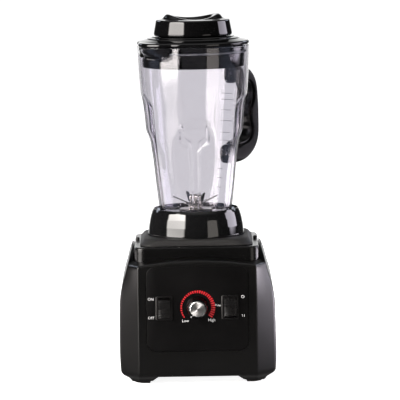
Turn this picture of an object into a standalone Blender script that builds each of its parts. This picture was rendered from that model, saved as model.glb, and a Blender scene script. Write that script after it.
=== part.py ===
"""Countertop blender, built as an assembly: motor base, controls, jar, blade unit, lid and filler cap.

Frame: metres, +Z up, the front faces -Y, the spin axis is the Z axis and the rubber feet stand on z = 0.
Every length below is written in millimetres and multiplied by MM.
"""

import math

import bmesh
import bpy
from mathutils import Matrix, Vector

MM = 0.001

# ---------------------------------------------------------------- driving dimensions (mm)
BASE_HALF_W = 107.5  # widest half width of the motor base
BASE_HALF_D = 107.0  # front and rear faces of the motor base
BASE_WALL = 3.2
PLATE_HALF = 85.5  # raised plate on top of the base
PLATE_TOP = 187.0
PAD_TOP = 195.6
FLOOR_Z = 224.0  # underside of the jar's floor
RIM_Z = 459.0  # top of the jar's rim
JAR_WALL = 3.2
CAP_TOP = 496.0
PANEL_HALF_W, PANEL_Z0, PANEL_Z1 = 69.5, 47.0, 163.0
SWITCH_X, SWITCH_Z = 45.0, 106.5
KNOB_Z = 107.0
REAR_REACH = 127.0  # knob tip in front, cord gland tip behind

# ---------------------------------------------------------------- scene
for old in list(bpy.data.objects):
    bpy.data.objects.remove(old, do_unlink=True)

parts = bpy.data.collections.new("countertop_blender")
cutters = bpy.data.collections.new("cutters")
bpy.context.scene.collection.children.link(parts)
bpy.context.scene.collection.children.link(cutters)


def material(name, rgb, roughness, metallic=0.0, transmission=0.0):
    mat = bpy.data.materials.new(name)
    mat.use_nodes = True
    bsdf = mat.node_tree.nodes["Principled BSDF"]
    bsdf.inputs["Base Color"].default_value = (*rgb, 1.0)
    bsdf.inputs["Roughness"].default_value = roughness
    bsdf.inputs["Metallic"].default_value = metallic
    bsdf.inputs["Transmission Weight"].default_value = transmission
    mat.diffuse_color = (*rgb, 1.0)
    return mat


SATIN = material("satin_black_abs", (0.022, 0.021, 0.022), 0.42)
GLOSS = material("gloss_black_abs", (0.008, 0.008, 0.009), 0.06)
RUBBER = material("black_rubber", (0.03, 0.028, 0.028), 0.75)
CLEAR = material("clear_polycarbonate", (0.93, 0.93, 0.96), 0.03, 0.0, 1.0)
GREY = material("handle_grey_plastic", (0.06, 0.056, 0.062), 0.4)
PANEL = material("panel_black", (0.016, 0.015, 0.016), 0.5)
STEEL = material("stainless_steel", (0.62, 0.61, 0.6), 0.22, 1.0)
ALU = material("spun_aluminium", (0.82, 0.81, 0.8), 0.3, 1.0)
COPPER = material("copper_winding", (0.72, 0.36, 0.18), 0.35, 1.0)
IRON = material("lamination_steel", (0.3, 0.3, 0.31), 0.5, 1.0)
SILICONE = material("grey_silicone", (0.35, 0.35, 0.36), 0.6)
BOARD = material("circuit_board", (0.05, 0.22, 0.1), 0.5)
NYLON = material("white_nylon", (0.7, 0.7, 0.66), 0.5)
CARBON = material("carbon", (0.05, 0.05, 0.055), 0.7)


# ---------------------------------------------------------------- helpers
def link(obj, mat=None, helper=False):
    for coll in list(obj.users_collection):
        coll.objects.unlink(obj)
    (cutters if helper else parts).objects.link(obj)
    if helper:
        obj.hide_render = True
        obj.display_type = "WIRE"
    elif mat:
        obj.data.materials.clear()
        obj.data.materials.append(mat)
    return obj


def from_bmesh(name, bm, mat=None, helper=False):
    mesh = bpy.data.meshes.new(name)
    bm.to_mesh(mesh)
    bm.free()
    return link(bpy.data.objects.new(name, mesh), mat, helper)


def smooth(obj, degrees=35):
    obj.data.shade_smooth()
    obj.data.set_sharp_from_angle(angle=math.radians(degrees))
    return obj


def turned(name, profile, steps=32, mat=None, centre=(0.0, 0.0), ring=False, helper=False):
    """A profile of (radius, z) points, top to bottom down its outer side, turned about a vertical axis."""
    bm = bmesh.new()
    verts = [bm.verts.new((r * MM, 0.0, z * MM)) for r, z in profile]
    for a, b in zip(verts, verts[1:]):
        bm.edges.new((a, b))
    if ring:
        bm.edges.new((verts[-1], verts[0]))
    obj = from_bmesh(name, bm, mat, helper)
    screw = obj.modifiers.new("turn", "SCREW")
    screw.axis = "Z"
    screw.angle = 2 * math.pi
    screw.steps = screw.render_steps = steps
    screw.use_merge_vertices = True
    screw.merge_threshold = 0.00001
    screw.use_smooth_shade = True
    obj.location = (centre[0] * MM, centre[1] * MM, 0.0)
    return obj


def cylinder(name, radius, start, end, mat=None, sides=24, helper=False):
    """A cylinder between two points, in mm."""
    a, b = Vector(start) * MM, Vector(end) * MM
    bm = bmesh.new()
    bmesh.ops.create_cone(
        bm, cap_ends=True, segments=sides, radius1=radius * MM, radius2=radius * MM, depth=(b - a).length
    )
    obj = from_bmesh(name, bm, mat, helper)
    obj.location = (a + b) / 2
    obj.rotation_mode = "QUATERNION"
    obj.rotation_quaternion = (b - a).to_track_quat("Z", "Y")
    if not helper:
        smooth(obj)
    return obj


def box(name, lo, hi, mat=None, helper=False, round_axis=None, radius=0.0, segments=4, bevel=0.0):
    """A box between two corners in mm; round_axis rounds the four edges along that axis."""
    lo, hi = Vector(lo), Vector(hi)
    bm = bmesh.new()
    bmesh.ops.create_cube(bm, size=1.0)
    size = hi - lo
    for v in bm.verts:
        v.co = Vector(v.co[k] * size[k] * MM for k in range(3))
    if round_axis is not None:
        edges = [e for e in bm.edges if abs((e.verts[0].co - e.verts[1].co)[round_axis]) > 1e-6]
        bmesh.ops.bevel(bm, geom=edges, offset=radius * MM, segments=segments, profile=0.5, affect="EDGES")
    obj = from_bmesh(name, bm, mat, helper)
    obj.location = (lo + hi) / 2 * MM
    if bevel:
        mod = obj.modifiers.new("edges", "BEVEL")
        mod.width = bevel * MM
        mod.segments = 2
        mod.limit_method = "ANGLE"
    return obj


def boolean(obj, other, operation="DIFFERENCE"):
    mod = obj.modifiers.new(operation.lower() + "_" + other.name[:30], "BOOLEAN")
    mod.operation = operation
    mod.object = other
    return obj


def skin(name, rings, mat=None, closed_end=False, helper=False, wall=0.0):
    """Quads between rings of equal point count, rings listed from top to bottom and points anticlockwise from above."""
    bm = bmesh.new()
    rows = [[bm.verts.new(Vector(p) * MM) for p in ring] for ring in rings]
    n = len(rows[0])
    for upper, lower in zip(rows, rows[1:]):
        for i in range(n):
            j = (i + 1) % n
            bm.faces.new((lower[i], lower[j], upper[j], upper[i]))
    if closed_end:
        bm.faces.new(rows[0])
        bm.faces.new(list(reversed(rows[-1])))
    obj = from_bmesh(name, bm, mat, helper)
    if wall:
        mod = obj.modifiers.new("wall", "SOLIDIFY")
        mod.thickness = wall * MM
        mod.offset = -1.0
        mod.use_even_offset = True
    return obj


def outline(name, points, thickness, frame, mat=None, helper=False):
    """A flat closed outline in (u, v) mm, given a thickness along the frame's third axis."""
    curve = bpy.data.curves.new(name, "CURVE")
    curve.dimensions = "2D"
    curve.fill_mode = "BOTH"
    curve.extrude = thickness * MM / 2
    spline = curve.splines.new("POLY")
    spline.points.add(len(points) - 1)
    for p, (u, v) in zip(spline.points, points):
        p.co = (u * MM, v * MM, 0.0, 1.0)
    spline.use_cyclic_u = True
    temp = bpy.data.objects.new(name + "_curve", curve)
    bpy.context.scene.collection.objects.link(temp)
    temp.matrix_world = frame
    bpy.context.view_layer.update()
    graph = bpy.context.evaluated_depsgraph_get()
    mesh = bpy.data.meshes.new_from_object(temp.evaluated_get(graph))
    bm = bmesh.new()
    bm.from_mesh(mesh)
    bmesh.ops.remove_doubles(bm, verts=bm.verts, dist=0.000001)
    bmesh.ops.recalc_face_normals(bm, faces=bm.faces)
    bm.to_mesh(mesh)
    bm.free()
    obj = bpy.data.objects.new(name, mesh)
    obj.matrix_world = temp.matrix_world
    bpy.data.objects.remove(temp, do_unlink=True)
    return link(obj, mat, helper)


def frame_of(u, v, origin=(0, 0, 0)):
    """A matrix whose first two axes are u and v."""
    u, v = Vector(u).normalized(), Vector(v).normalized()
    w = u.cross(v)
    m = Matrix((u, v, w)).transposed().to_4x4()
    m.translation = Vector(origin) * MM
    return m


def interp(table, t):
    """Straight-line interpolation in a table of (t, value)."""
    if t <= table[0][0]:
        return table[0][1]
    for (t0, v0), (t1, v1) in zip(table, table[1:]):
        if t <= t1:
            return v0 + (v1 - v0) * (t - t0) / (t1 - t0)
    return table[-1][1]


# ================================================================ motor base
# Plan of the base: a square with broad chamfered corners, given by half sizes and the chamfer's legs.
BASE_X = [(3, 90.5), (9, 95.5), (13, 103.0), (22, 107.2), (60, 107.5), (110, 107.3), (125, 106.2),
          (145, 101.3), (165, 95.6), (184, 90.6)]
BASE_Y = [(3, 91.0), (9, 96.0), (13, 103.0), (22, 106.6), (60, 107.0), (110, 107.0), (170, 105.0)]


def base_plan(z, corner=5, front=6):
    """Points of the base's outline at height z, anticlockwise from the middle of the front."""
    x, y = interp(BASE_X, z), interp(BASE_Y, z)
    cx, cy = x - 81.0 if x > 96 else 15.0 + 0.0 * x, y - 81.0 if y > 96 else 15.0
    cx = max(cx, 12.0)
    cy = max(cy, 12.0)
    quarter = []
    for i in range(front):  # from the middle of the front to the chamfer
        quarter.append(((x - cx) * i / front, -y))
    for i in range(corner + 1):  # the chamfer, slightly bowed
        t = i / corner
        bow = 1.6 * 4 * t * (1 - t)
        px, py = x - cx * (1 - t), -y + cy * t
        quarter.append((px + bow * 0.7, py - bow * 0.7))
    for i in range(1, front):  # along the side to its middle
        quarter.append((x, -(y - cy) * (1 - i / front)))
    # mirror the front right quarter into the whole outline
    right = quarter + [(x, 0.0)] + [(px, -py) for px, py in reversed(quarter[1:])] + [(0.0, y)]
    left = [(-px, py) for px, py in reversed(right[1:-1])]
    return right + left


def crest(px, py):
    """Height of the crease round the top of the base: low at the corners, arched to the middle of each side."""
    along_front = max(0.0, 1 - abs(px) / 82.0) if abs(py) > abs(px) else 0.0
    along_side = max(0.0, 1 - abs(py) / 84.0) if abs(px) >= abs(py) else 0.0
    return 163.5 + 6.5 * math.sin(along_front * math.pi / 2) + 20.0 * math.sin(along_side * math.pi / 2) ** 0.8


def plate_plan(half, radius, count_like):
    """A rounded square sampled at the directions of another outline's points."""
    points = []
    for px, py in count_like:
        scale = half / max(abs(px), abs(py))
        qx, qy = px * scale, py * scale
        kx, ky = half - radius, half - radius
        if abs(qx) > kx and abs(qy) > ky:
            d = Vector((abs(qx) - kx, abs(qy) - ky)).normalized() * radius
            qx = math.copysign(kx + d.x, qx)
            qy = math.copysign(ky + d.y, qy)
        points.append((qx, qy))
    return points


def base_rings():
    full = base_plan(60)
    inner = plate_plan(PLATE_HALF + 1.2, 15.2, full)
    rings = []
    tops = []
    for i, (px, py) in enumerate(full):
        z = crest(px, py)
        qx, qy = base_plan(min(z, 184.0))[i]
        tops.append((qx, qy, z))
    ledge = [(qx, qy, min(z + 3.5, PLATE_TOP - 0.6)) for (qx, qy), (_, _, z) in zip(inner, tops)]
    lip = [(qx, qy, z - 5.0) for qx, qy, z in ledge]
    rings.append(lip)
    rings.append(ledge)
    rings.append(tops)
    for share in (0.82, 0.6, 0.36, 0.14):
        row = []
        for i, (_, _, z) in enumerate(tops):
            h = 110 + (z - 110) * share
            qx, qy = base_plan(h)[i]
            row.append((qx, qy, h))
        rings.append(row)
    for h in (104, 60, 22, 13, 9, 3):
        rings.append([(qx, qy, h) for qx, qy in base_plan(h)])
    return rings


housing = skin("housing_shell", base_rings()[1:], SATIN, wall=BASE_WALL)
boolean(housing, box("cut_plate_seat", (-PLATE_HALF - 0.5, -PLATE_HALF - 0.5, 150.0),
                     (PLATE_HALF + 0.5, PLATE_HALF + 0.5, 200.0), helper=True, round_axis=2, radius=14.5, segments=5))
# arches between the four legs
arch = [(-64.0, -6.0), (64.0, -6.0), (64.0, 3.0), (55.5, 11.0), (-55.5, 11.0), (-64.0, 3.0)]
boolean(housing, outline("cut_arch_front", arch, 260, frame_of((1, 0, 0), (0, 0, 1)), helper=True))
boolean(housing, outline("cut_arch_side", arch, 260, frame_of((0, 1, 0), (0, 0, 1)), helper=True))
# recess for the control panel, then its three openings
boolean(housing, box("cut_panel_recess", (-PANEL_HALF_W - 0.6, -115, PANEL_Z0 - 0.6),
                     (PANEL_HALF_W + 0.6, -105.4, PANEL_Z1 + 0.6), helper=True, round_axis=1, radius=13))
for side, sx in (("power", -1), ("pulse", 1)):
    boolean(housing, box(f"cut_{side}_hole", (sx * SWITCH_X - 9.8, -112, SWITCH_Z - 15.6),
                         (sx * SWITCH_X + 9.8, -95, SWITCH_Z + 15.6), helper=True))
boolean(housing, cylinder("cut_pot_hole", 5.2, (0, -112, KNOB_Z), (0, -95, KNOB_Z), helper=True, sides=20))
boolean(housing, cylinder("cut_gland_hole", 8.4, (45, 95, 36), (45, 115, 36), helper=True, sides=20))
boolean(housing, cylinder("cut_breaker_hole", 6.4, (-45, 95, 36), (-45, 115, 36), helper=True, sides=20))

# raised plate: a tray turned upside down, open below, with a hole for the drive spline
plate = box("top_plate", (-PLATE_HALF, -PLATE_HALF, 158.0), (PLATE_HALF, PLATE_HALF, PLATE_TOP), SATIN,
            round_axis=2, radius=14, segments=5)
boolean(plate, box("cut_plate_hollow", (-PLATE_HALF + 4, -PLATE_HALF + 4, 150.0),
                   (PLATE_HALF - 4, PLATE_HALF - 4, PLATE_TOP - 4.0), helper=True, round_axis=2, radius=11))
boolean(plate, cylinder("cut_plate_hole", 21.0, (0, 0, 170), (0, 0, 200), helper=True, sides=32))

for name, sx in (("side_plug_left", -1), ("side_plug_right", 1)):
    turned(name, [(0, 191.4), (2.2, 191.4), (2.9, 190.6), (2.9, 187.3), (0, 187.3)], 12, RUBBER,
           centre=(sx * 81.8, 2.0))

# rubber seat under the jar: square at its foot, round where the collar sits, four keys against turning
def seat_ring(half, radius, power, z, n=32):
    points = []
    for i in range(n):
        a = 2 * math.pi * (i + 0.5) / n
        c, s = math.cos(a), math.sin(a)
        r = half / (abs(c) ** power + abs(s) ** power) ** (1 / power)
        points.append((r * c, r * s, z))
    return points


def round_ring(radius, z, n=32):
    return [(radius * math.cos(2 * math.pi * (i + 0.5) / n), radius * math.sin(2 * math.pi * (i + 0.5) / n), z)
            for i in range(n)]


seat_rows = [round_ring(24.0, 187.4), round_ring(24.0, 191.6), round_ring(67.3, 191.6), round_ring(67.9, PAD_TOP),
             seat_ring(70.5, 0, 5.0, PAD_TOP), seat_ring(72.0, 0, 6.5, PAD_TOP - 1.2), seat_ring(76.0, 0, 9.0, 189.6),
             seat_ring(76.0, 0, 9.0, 187.4)]
bm = bmesh.new()
rows = [[bm.verts.new(Vector(p) * MM) for p in row] for row in seat_rows]
for k, upper in enumerate(rows):
    lower = rows[(k + 1) % len(rows)]
    for i in range(32):
        j = (i + 1) % 32
        bm.faces.new((lower[i], lower[j], upper[j], upper[i]))
seat = from_bmesh("jar_seat_pad", bm, RUBBER)
for k in range(4):
    a = math.radians(45 + 90 * k)
    lug = box(f"pad_key_{k}", (-5, -4, 190.0), (5, 4, 200.0), helper=True)
    lug.rotation_euler = (0, 0, a)
    lug.location = (math.cos(a) * 50 * MM, math.sin(a) * 50 * MM, 195.0 * MM)
    boolean(seat, lug, "UNION")

# floor of the base with air slots, and four rubber feet inside the hollow legs
cover = box("bottom_cover", (-97, -97, 14.8), (97, 97, 17.6), SATIN, round_axis=2, radius=20, segments=1)
for k in range(5):
    y = -24 + 12 * k
    boolean(cover, box(f"cut_vent_{k}", (-30, y - 2.5, 5), (30, y + 2.5, 25), helper=True))
for name, sx, sy in (("foot_front_left", -1, -1), ("foot_front_right", 1, -1),
                     ("foot_rear_left", -1, 1), ("foot_rear_right", 1, 1)):
    pts = [(66, 66), (86.2, 66), (86.2, 76.5), (76.5, 86.2), (66, 86.2)]
    if sx * sy < 0:
        pts = list(reversed(pts))
    pts = [(sx * u, sy * v) for u, v in pts]
    foot = outline(name, pts, 12.4, frame_of((1, 0, 0), (0, 1, 0), (0, 0, 6.2)), RUBBER)
    mod = foot.modifiers.new("edges", "BEVEL")
    mod.width, mod.segments, mod.limit_method = 0.9 * MM, 1, "ANGLE"

# ================================================================ controls on the front
FACE = -106.9  # outer face of the control panel
panel = box("control_panel", (-PANEL_HALF_W, FACE, PANEL_Z0), (PANEL_HALF_W, -105.7, PANEL_Z1), PANEL,
            round_axis=1, radius=12.5, segments=5)
for side, sx in (("power", -1), ("pulse", 1)):
    boolean(panel, box(f"cut_panel_{side}", (sx * SWITCH_X - 9.8, -112, SWITCH_Z - 15.6),
                       (sx * SWITCH_X + 9.8, -95, SWITCH_Z + 15.6), helper=True))
boolean(panel, cylinder("cut_panel_pot", 5.2, (0, -112, KNOB_Z), (0, -95, KNOB_Z), helper=True, sides=20))

ROCKER_PIVOT_Y = -103.5


def switch(side, sx, tilt):
    """A snap-in switch body: flange on the panel, pocket for the rocker, and the rocker tilted on its pivot."""
    cx = sx * SWITCH_X
    body = box(f"{side}_switch_body", (cx - 9.4, -107.0, SWITCH_Z - 15.2), (cx + 9.4, -84.0, SWITCH_Z + 15.2), SATIN)
    flange = box(f"{side}_flange", (cx - 11.0, -108.8, SWITCH_Z - 16.6), (cx + 11.0, -107.25, SWITCH_Z + 16.6),
                 helper=True, round_axis=1, radius=1.6, segments=2)
    neck = box(f"{side}_neck", (cx - 9.4, -108.0, SWITCH_Z - 15.2), (cx + 9.4, -106.0, SWITCH_Z + 15.2), helper=True)
    boolean(body, neck, "UNION")
    boolean(body, flange, "UNION")
    boolean(body, box(f"{side}_pocket", (cx - 8.3, -112, SWITCH_Z - 14.2), (cx + 8.3, -93.0, SWITCH_Z + 14.2),
                      helper=True))
    # rocker: a shallow V in front, a rounded belly behind, drawn about its pivot
    face = [(-7.6, -12.9), (-8.3, -12.3), (-6.1, -4.0), (-5.6, 0.0), (-6.1, 4.0), (-8.3, 12.3), (-7.6, 12.9)]
    belly = [(7.8 * math.sin(t), 12.9 * math.cos(t)) for t in [math.radians(d) for d in (25, 50, 75, 90, 105, 130, 155)]]
    c, s = math.cos(math.radians(tilt)), math.sin(math.radians(tilt))
    pts = [(y * c - z * s, y * s + z * c) for y, z in face + belly]
    rocker = outline(f"{side}_rocker", pts, 16.0, frame_of((0, 1, 0), (0, 0, 1), (cx, ROCKER_PIVOT_Y, SWITCH_Z)), GLOSS)
    return body, rocker


ROCKER_TILT = 7.0
switch("power", -1, ROCKER_TILT)
switch("pulse", 1, -ROCKER_TILT)

# speed dial: potentiometer behind the wall, its shaft, the knob and its spun metal inlay
pot = cylinder("speed_potentiometer", 12.0, (0, -101.8, KNOB_Z), (0, -88, KNOB_Z), SATIN, 24)
boolean(pot, cylinder("pot_bush", 4.6, (0, -109.4, KNOB_Z), (0, -95, KNOB_Z), helper=True, sides=20), "UNION")
boolean(pot, cylinder("cut_pot_bore", 3.3, (0, -115, KNOB_Z), (0, -91, KNOB_Z), helper=True, sides=20))
cylinder("speed_shaft", 3.0, (0, -119.5, KNOB_Z), (0, -91.5, KNOB_Z), STEEL, 16)
def knob_turned(name, profile, steps, mat, helper=False):
    """Turned about the dial's axis: profile radius, distance in front of y = 0."""
    obj = turned(name, profile, steps, mat, helper=helper)
    obj.rotation_euler = (math.radians(90), 0, 0)
    obj.location = (0, 0, KNOB_Z * MM)
    return obj


knob = knob_turned("speed_knob", [(0, 124.6), (11.2, 124.6), (11.2, 126.2), (12.2, 126.2), (13.6, 125.0),
                                  (14.6, 113.0), (15.6, 111.6), (15.6, 108.4), (0, 108.4)], 36, SATIN)
boolean(knob, cylinder("cut_knob_bore", 3.3, (0, -119.9, KNOB_Z), (0, -100, KNOB_Z), helper=True, sides=20))
boolean(knob, cylinder("cut_knob_foot", 5.6, (0, -110.0, KNOB_Z), (0, -100, KNOB_Z), helper=True, sides=20))
knob_turned("knob_inlay", [(0, REAR_REACH), (9.8, REAR_REACH), (10.9, 126.4), (10.9, 124.9), (0, 124.9)], 36, ALU)

# rear: cord gland and breaker with its reset button
gland = turned("cord_gland", [(5.0, REAR_REACH), (7.6, REAR_REACH), (9.6, 122.0), (9.6, 117.0), (11.5, 116.0),
                              (11.5, 107.5), (8.0, 107.5), (8.0, 98.5), (5.0, 98.5)], 20, SATIN, ring=True)
gland.rotation_euler = (math.radians(-90), 0, 0)
gland.location = (45 * MM, 0, 36 * MM)
breaker = turned("breaker_body", [(5.6, 109.4), (8.6, 109.4), (8.6, 107.4), (6.1, 107.4), (6.1, 102.6),
                                  (12.0, 102.6), (12.0, 82.0), (4.6, 82.0), (4.6, 96.0), (5.6, 96.0)], 20, SATIN, ring=True)
breaker.rotation_euler = (math.radians(-90), 0, 0)
breaker.location = (-45 * MM, 0, 36 * MM)
button = turned("reset_button", [(0, 113.6), (3.2, 113.6), (3.9, 112.6), (3.9, 104.0), (5.2, 104.0), (5.2, 101.0),
                                 (3.9, 101.0), (3.9, 90.0), (0, 90.0)], 16, NYLON)
button.rotation_euler = (math.radians(-90), 0, 0)
button.location = (-45 * MM, 0, 36 * MM)

# ================================================================ motor inside the base
turned("motor_shaft", [(0, 191.0), (4.0, 191.0), (4.0, 27.0), (0, 27.0)], 16, STEEL)
turned("drive_spline", [(4.3, 206.0), (8.0, 206.0), (10.0, 203.5), (10.0, 192.5), (14.0, 192.0), (14.0, 186.0), (11.0, 184.0), (11.0, 178.0), (4.3, 178.0)], 24, STEEL, ring=True)
spline = bpy.data.objects["drive_spline"]
for k in range(6):  # six flutes make the splined head
    a = math.radians(60 * k)
    boolean(spline, cylinder(f"cut_flute_{k}", 2.6, (11.0 * math.cos(a), 11.0 * math.sin(a), 192.4),
                             (11.0 * math.cos(a), 11.0 * math.sin(a), 212), helper=True, sides=10))
turned("rotor_core", [(4.3, 132.0), (24.0, 132.0), (27.0, 128.0), (27.0, 84.0), (24.0, 80.0), (4.3, 80.0)], 24, COPPER, ring=True)
turned("commutator", [(4.4, 70.0), (13.0, 70.0), (13.0, 52.0), (4.4, 52.0)], 20, COPPER, ring=True)
fan = turned("cooling_fan", [(4.3, 40.0), (14.0, 40.0), (14.0, 34.0), (44.0, 34.0), (44.0, 31.5), (4.3, 31.5)], 28, NYLON, ring=True)
for k in range(9):
    a = 2 * math.pi * k / 9
    blade = box(f"fan_blade_{k}", (-14, -0.8, -3.5), (14, 0.8, 3.5), helper=True)
    blade.location = (28 * math.cos(a) * MM, 28 * math.sin(a) * MM, 36.5 * MM)
    blade.rotation_euler = (0, 0, a + 0.5)
    boolean(fan, blade, "UNION")
turned("motor_stator", [(29.0, 130.0), (46.0, 130.0), (46.0, 82.0), (29.0, 82.0)], 28, IRON, ring=True)
turned("field_winding", [(30.0, 143.0), (42.0, 143.0), (44.0, 139.0), (44.0, 130.4), (30.0, 130.4)], 24, COPPER, ring=True)
top_bracket = box("motor_top_bracket", (-60, -16, 146.0), (60, 16, 150.5), ALU, round_axis=2, radius=8, segments=2)
boolean(top_bracket, cylinder("bracket_seat_top", 16, (0, 0, 148), (0, 0, 162), helper=True, sides=24), "UNION")
boolean(top_bracket, cylinder("cut_seat_top", 11.6, (0, 0, 152), (0, 0, 175), helper=True, sides=24))
boolean(top_bracket, cylinder("cut_shaft_top", 7.0, (0, 0, 140), (0, 0, 175), helper=True, sides=20))
for name, z0 in (("motor_bearing_upper", 152.4), ("motor_bearing_lower", 44.0)):
    turned(name, [(4.4, z0 + 7), (11.2, z0 + 7), (11.2, z0), (4.4, z0)], 20, STEEL, ring=True)
low_bracket = box("motor_lower_bracket", (-60, -16, 41.6), (60, 16, 43.7), ALU, round_axis=2, radius=8, segments=2)
boolean(low_bracket, cylinder("bracket_seat_low", 14.5, (0, 0, 42), (0, 0, 50.5), helper=True, sides=24), "UNION")
boolean(low_bracket, cylinder("cut_seat_low", 11.6, (0, 0, 43.7), (0, 0, 60), helper=True, sides=24))
boolean(low_bracket, cylinder("cut_shaft_low", 7.0, (0, 0, 30), (0, 0, 60), helper=True, sides=20))
for name, sx in (("motor_post_left", -1), ("motor_post_right", 1)):
    turned(name, [(0, 145.7), (4.0, 145.7), (4.0, 44.0), (0, 44.0)], 12, STEEL, centre=(sx * 53, 0))
for name, sx in (("carbon_brush_left", -1), ("carbon_brush_right", 1)):
    box(name, (min(sx * 13.4, sx * 34), -4, 56), (max(sx * 13.4, sx * 34), 4, 66), CARBON)
board = box("control_board", (-92, -40, 30), (-89.5, 40, 90), BOARD)
box("triac_heat_sink", (-89.1, -18, 40), (-78, 18, 80), ALU)

# ================================================================ jar
# Body: a round cone above, with four flats stepped into it below and a groove down each flat.
CONE_R = [(224, 52.6), (237, 57.0), (303, 65.0), (324, 67.4), (350, 69.6), (376, 71.0), (403, 73.4), (430, 75.8), (459, 78.0)]
FLAT_D = [(224, 50.8), (237, 52.4), (292, 58.0), (322, 60.3), (338, 65.6), (372, 69.0), (384, 73.0), (400, 90.0), (459, 99.0)]
GROOVE = [(224, 5.2), (318, 5.2), (336, 4.4), (352, 0.0), (459, 0.0)]
SPOUT = [(224, 0.0), (434, 0.0), (446, 4.0), (459, 11.0)]
SPOUT_AT = math.radians(225)


def jar_radius(a, z):
    """Radius of the jar's outer face at azimuth a and height z, in mm."""
    r = interp(CONE_R, z)
    d = interp(FLAT_D, z)
    for k in range(4):
        c = math.cos(a - k * math.pi / 2)
        if c > 0.1:
            flat = d / c
            r = -math.log(math.exp(-r / 1.2) + math.exp(-flat / 1.2)) * 1.2 if abs(flat - r) < 12 else min(r, flat)
    off = abs((a + math.pi / 4) % (math.pi / 2) - math.pi / 4) * r  # arc length from the middle of the nearest flat
    depth = interp(GROOVE, z)
    if off < 7.5 and depth > 0:
        r -= depth * math.cos(off / 7.5 * math.pi / 2) ** 2
    turn = (a - SPOUT_AT + math.pi) % (2 * math.pi) - math.pi
    if abs(turn) < 0.42:
        r += interp(SPOUT, z) * math.cos(turn / 0.42 * math.pi / 2) ** 2
    return r


def jar_angles():
    fine = []
    for k in range(4):
        mid = k * math.pi / 2
        for d in (-0.42, -0.28, -0.14, -0.07, 0.0, 0.07, 0.14, 0.28, 0.42, 0.6, 0.785, 0.97):
            fine.append(mid + d)
    return sorted(a % (2 * math.pi) for a in fine)


def jar_ring(z, inset=0.0):
    return [((jar_radius(a, z) - inset) * math.cos(a), (jar_radius(a, z) - inset) * math.sin(a), z) for a in jar_angles()]


jar_rows = [jar_ring(z) for z in (RIM_Z, 452, 444, 434, 400, 380, 366, 348, 338, 322, 290, 237)]
jar_rows.append(jar_ring(226.5, 0.4))
jar_rows.append(jar_ring(FLOOR_Z, 2.6))
jar_rows.append([(30 * math.cos(a), 30 * math.sin(a), FLOOR_Z) for a in jar_angles()])
jar_rows.append([(17 * math.cos(a), 17 * math.sin(a), FLOOR_Z) for a in jar_angles()])
jar = skin("jar_body", jar_rows, CLEAR, wall=JAR_WALL)
smooth(jar, 40)
# two bosses take the handle's screws, on the corner behind and to the right
DIR = Vector((math.cos(math.radians(45)), math.sin(math.radians(45)), 0))
BOSSES = (("upper", 414.0, 74.2), ("lower", 303.0, 64.6))
for name, z, r in BOSSES:
    a, b = DIR * (r - 1.2) + Vector((0, 0, z)), DIR * (r + 8.0) + Vector((0, 0, z))
    boolean(jar, cylinder(f"boss_{name}", 5.0, a, b, helper=True, sides=16), "UNION")
    a, b = DIR * (r + 1.4) + Vector((0, 0, z)), DIR * (r + 12.0) + Vector((0, 0, z))
    boolean(jar, cylinder(f"cut_pilot_{name}", 2.4, a, b, helper=True, sides=12))

# handle: a stiff outer bow and a wavy grip lining, in the plane of that corner
HANDLE_FRAME = frame_of(DIR, (0, 0, 1))
HANDLE_W = 27.0
OUTER = [(77.0, 425.6), (84.0, 425.2), (92.0, 423.2), (101.5, 418.0), (109.5, 408.5), (114.2, 395.0), (116.4, 373.0),
         (116.8, 345.0), (116.0, 328.0), (112.6, 315.0), (105.6, 304.5), (95.6, 296.5), (83.0, 291.0), (66.4, 288.4)]
INNER = [(67.3, 314.6), (76.0, 313.8), (86.0, 314.8), (95.0, 317.8), (101.2, 323.2), (104.8, 331.5), (104.6, 338.0),
         (102.2, 347.0), (101.2, 357.0), (102.6, 365.0), (106.6, 375.0), (108.5, 386.4), (106.3, 395.0), (100.6, 402.4),
         (92.0, 405.0), (83.0, 403.2), (75.8, 400.4)]
handle = outline("handle_shell", OUTER + INNER, HANDLE_W, HANDLE_FRAME, GREY)
mod = handle.modifiers.new("edges", "BEVEL")
mod.width, mod.segments, mod.limit_method, mod.angle_limit = 2.6 * MM, 2, "ANGLE", math.radians(60)
LINING_OUT = [(x, z) for x, z in INNER[1:-1]]


def lining_points():
    """The grip lining: lies inside the bow, about 4 mm thick."""
    outer = [Vector(p) for p in LINING_OUT]
    middle = Vector((88.0, 363.0))
    inner = []
    n = len(outer)
    for i, p in enumerate(outer):
        tangent = (outer[min(i + 1, n - 1)] - outer[max(i - 1, 0)]).normalized()
        normal = Vector((-tangent.y, tangent.x))
        if normal.dot(middle - p) < 0:
            normal = -normal
        inner.append((p + normal * 0.35, p + normal * (4.2 if 0 < i < n - 1 else 2.0)))
    return [tuple(a) for a, _ in inner] + [tuple(b) for _, b in reversed(inner)]


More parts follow.
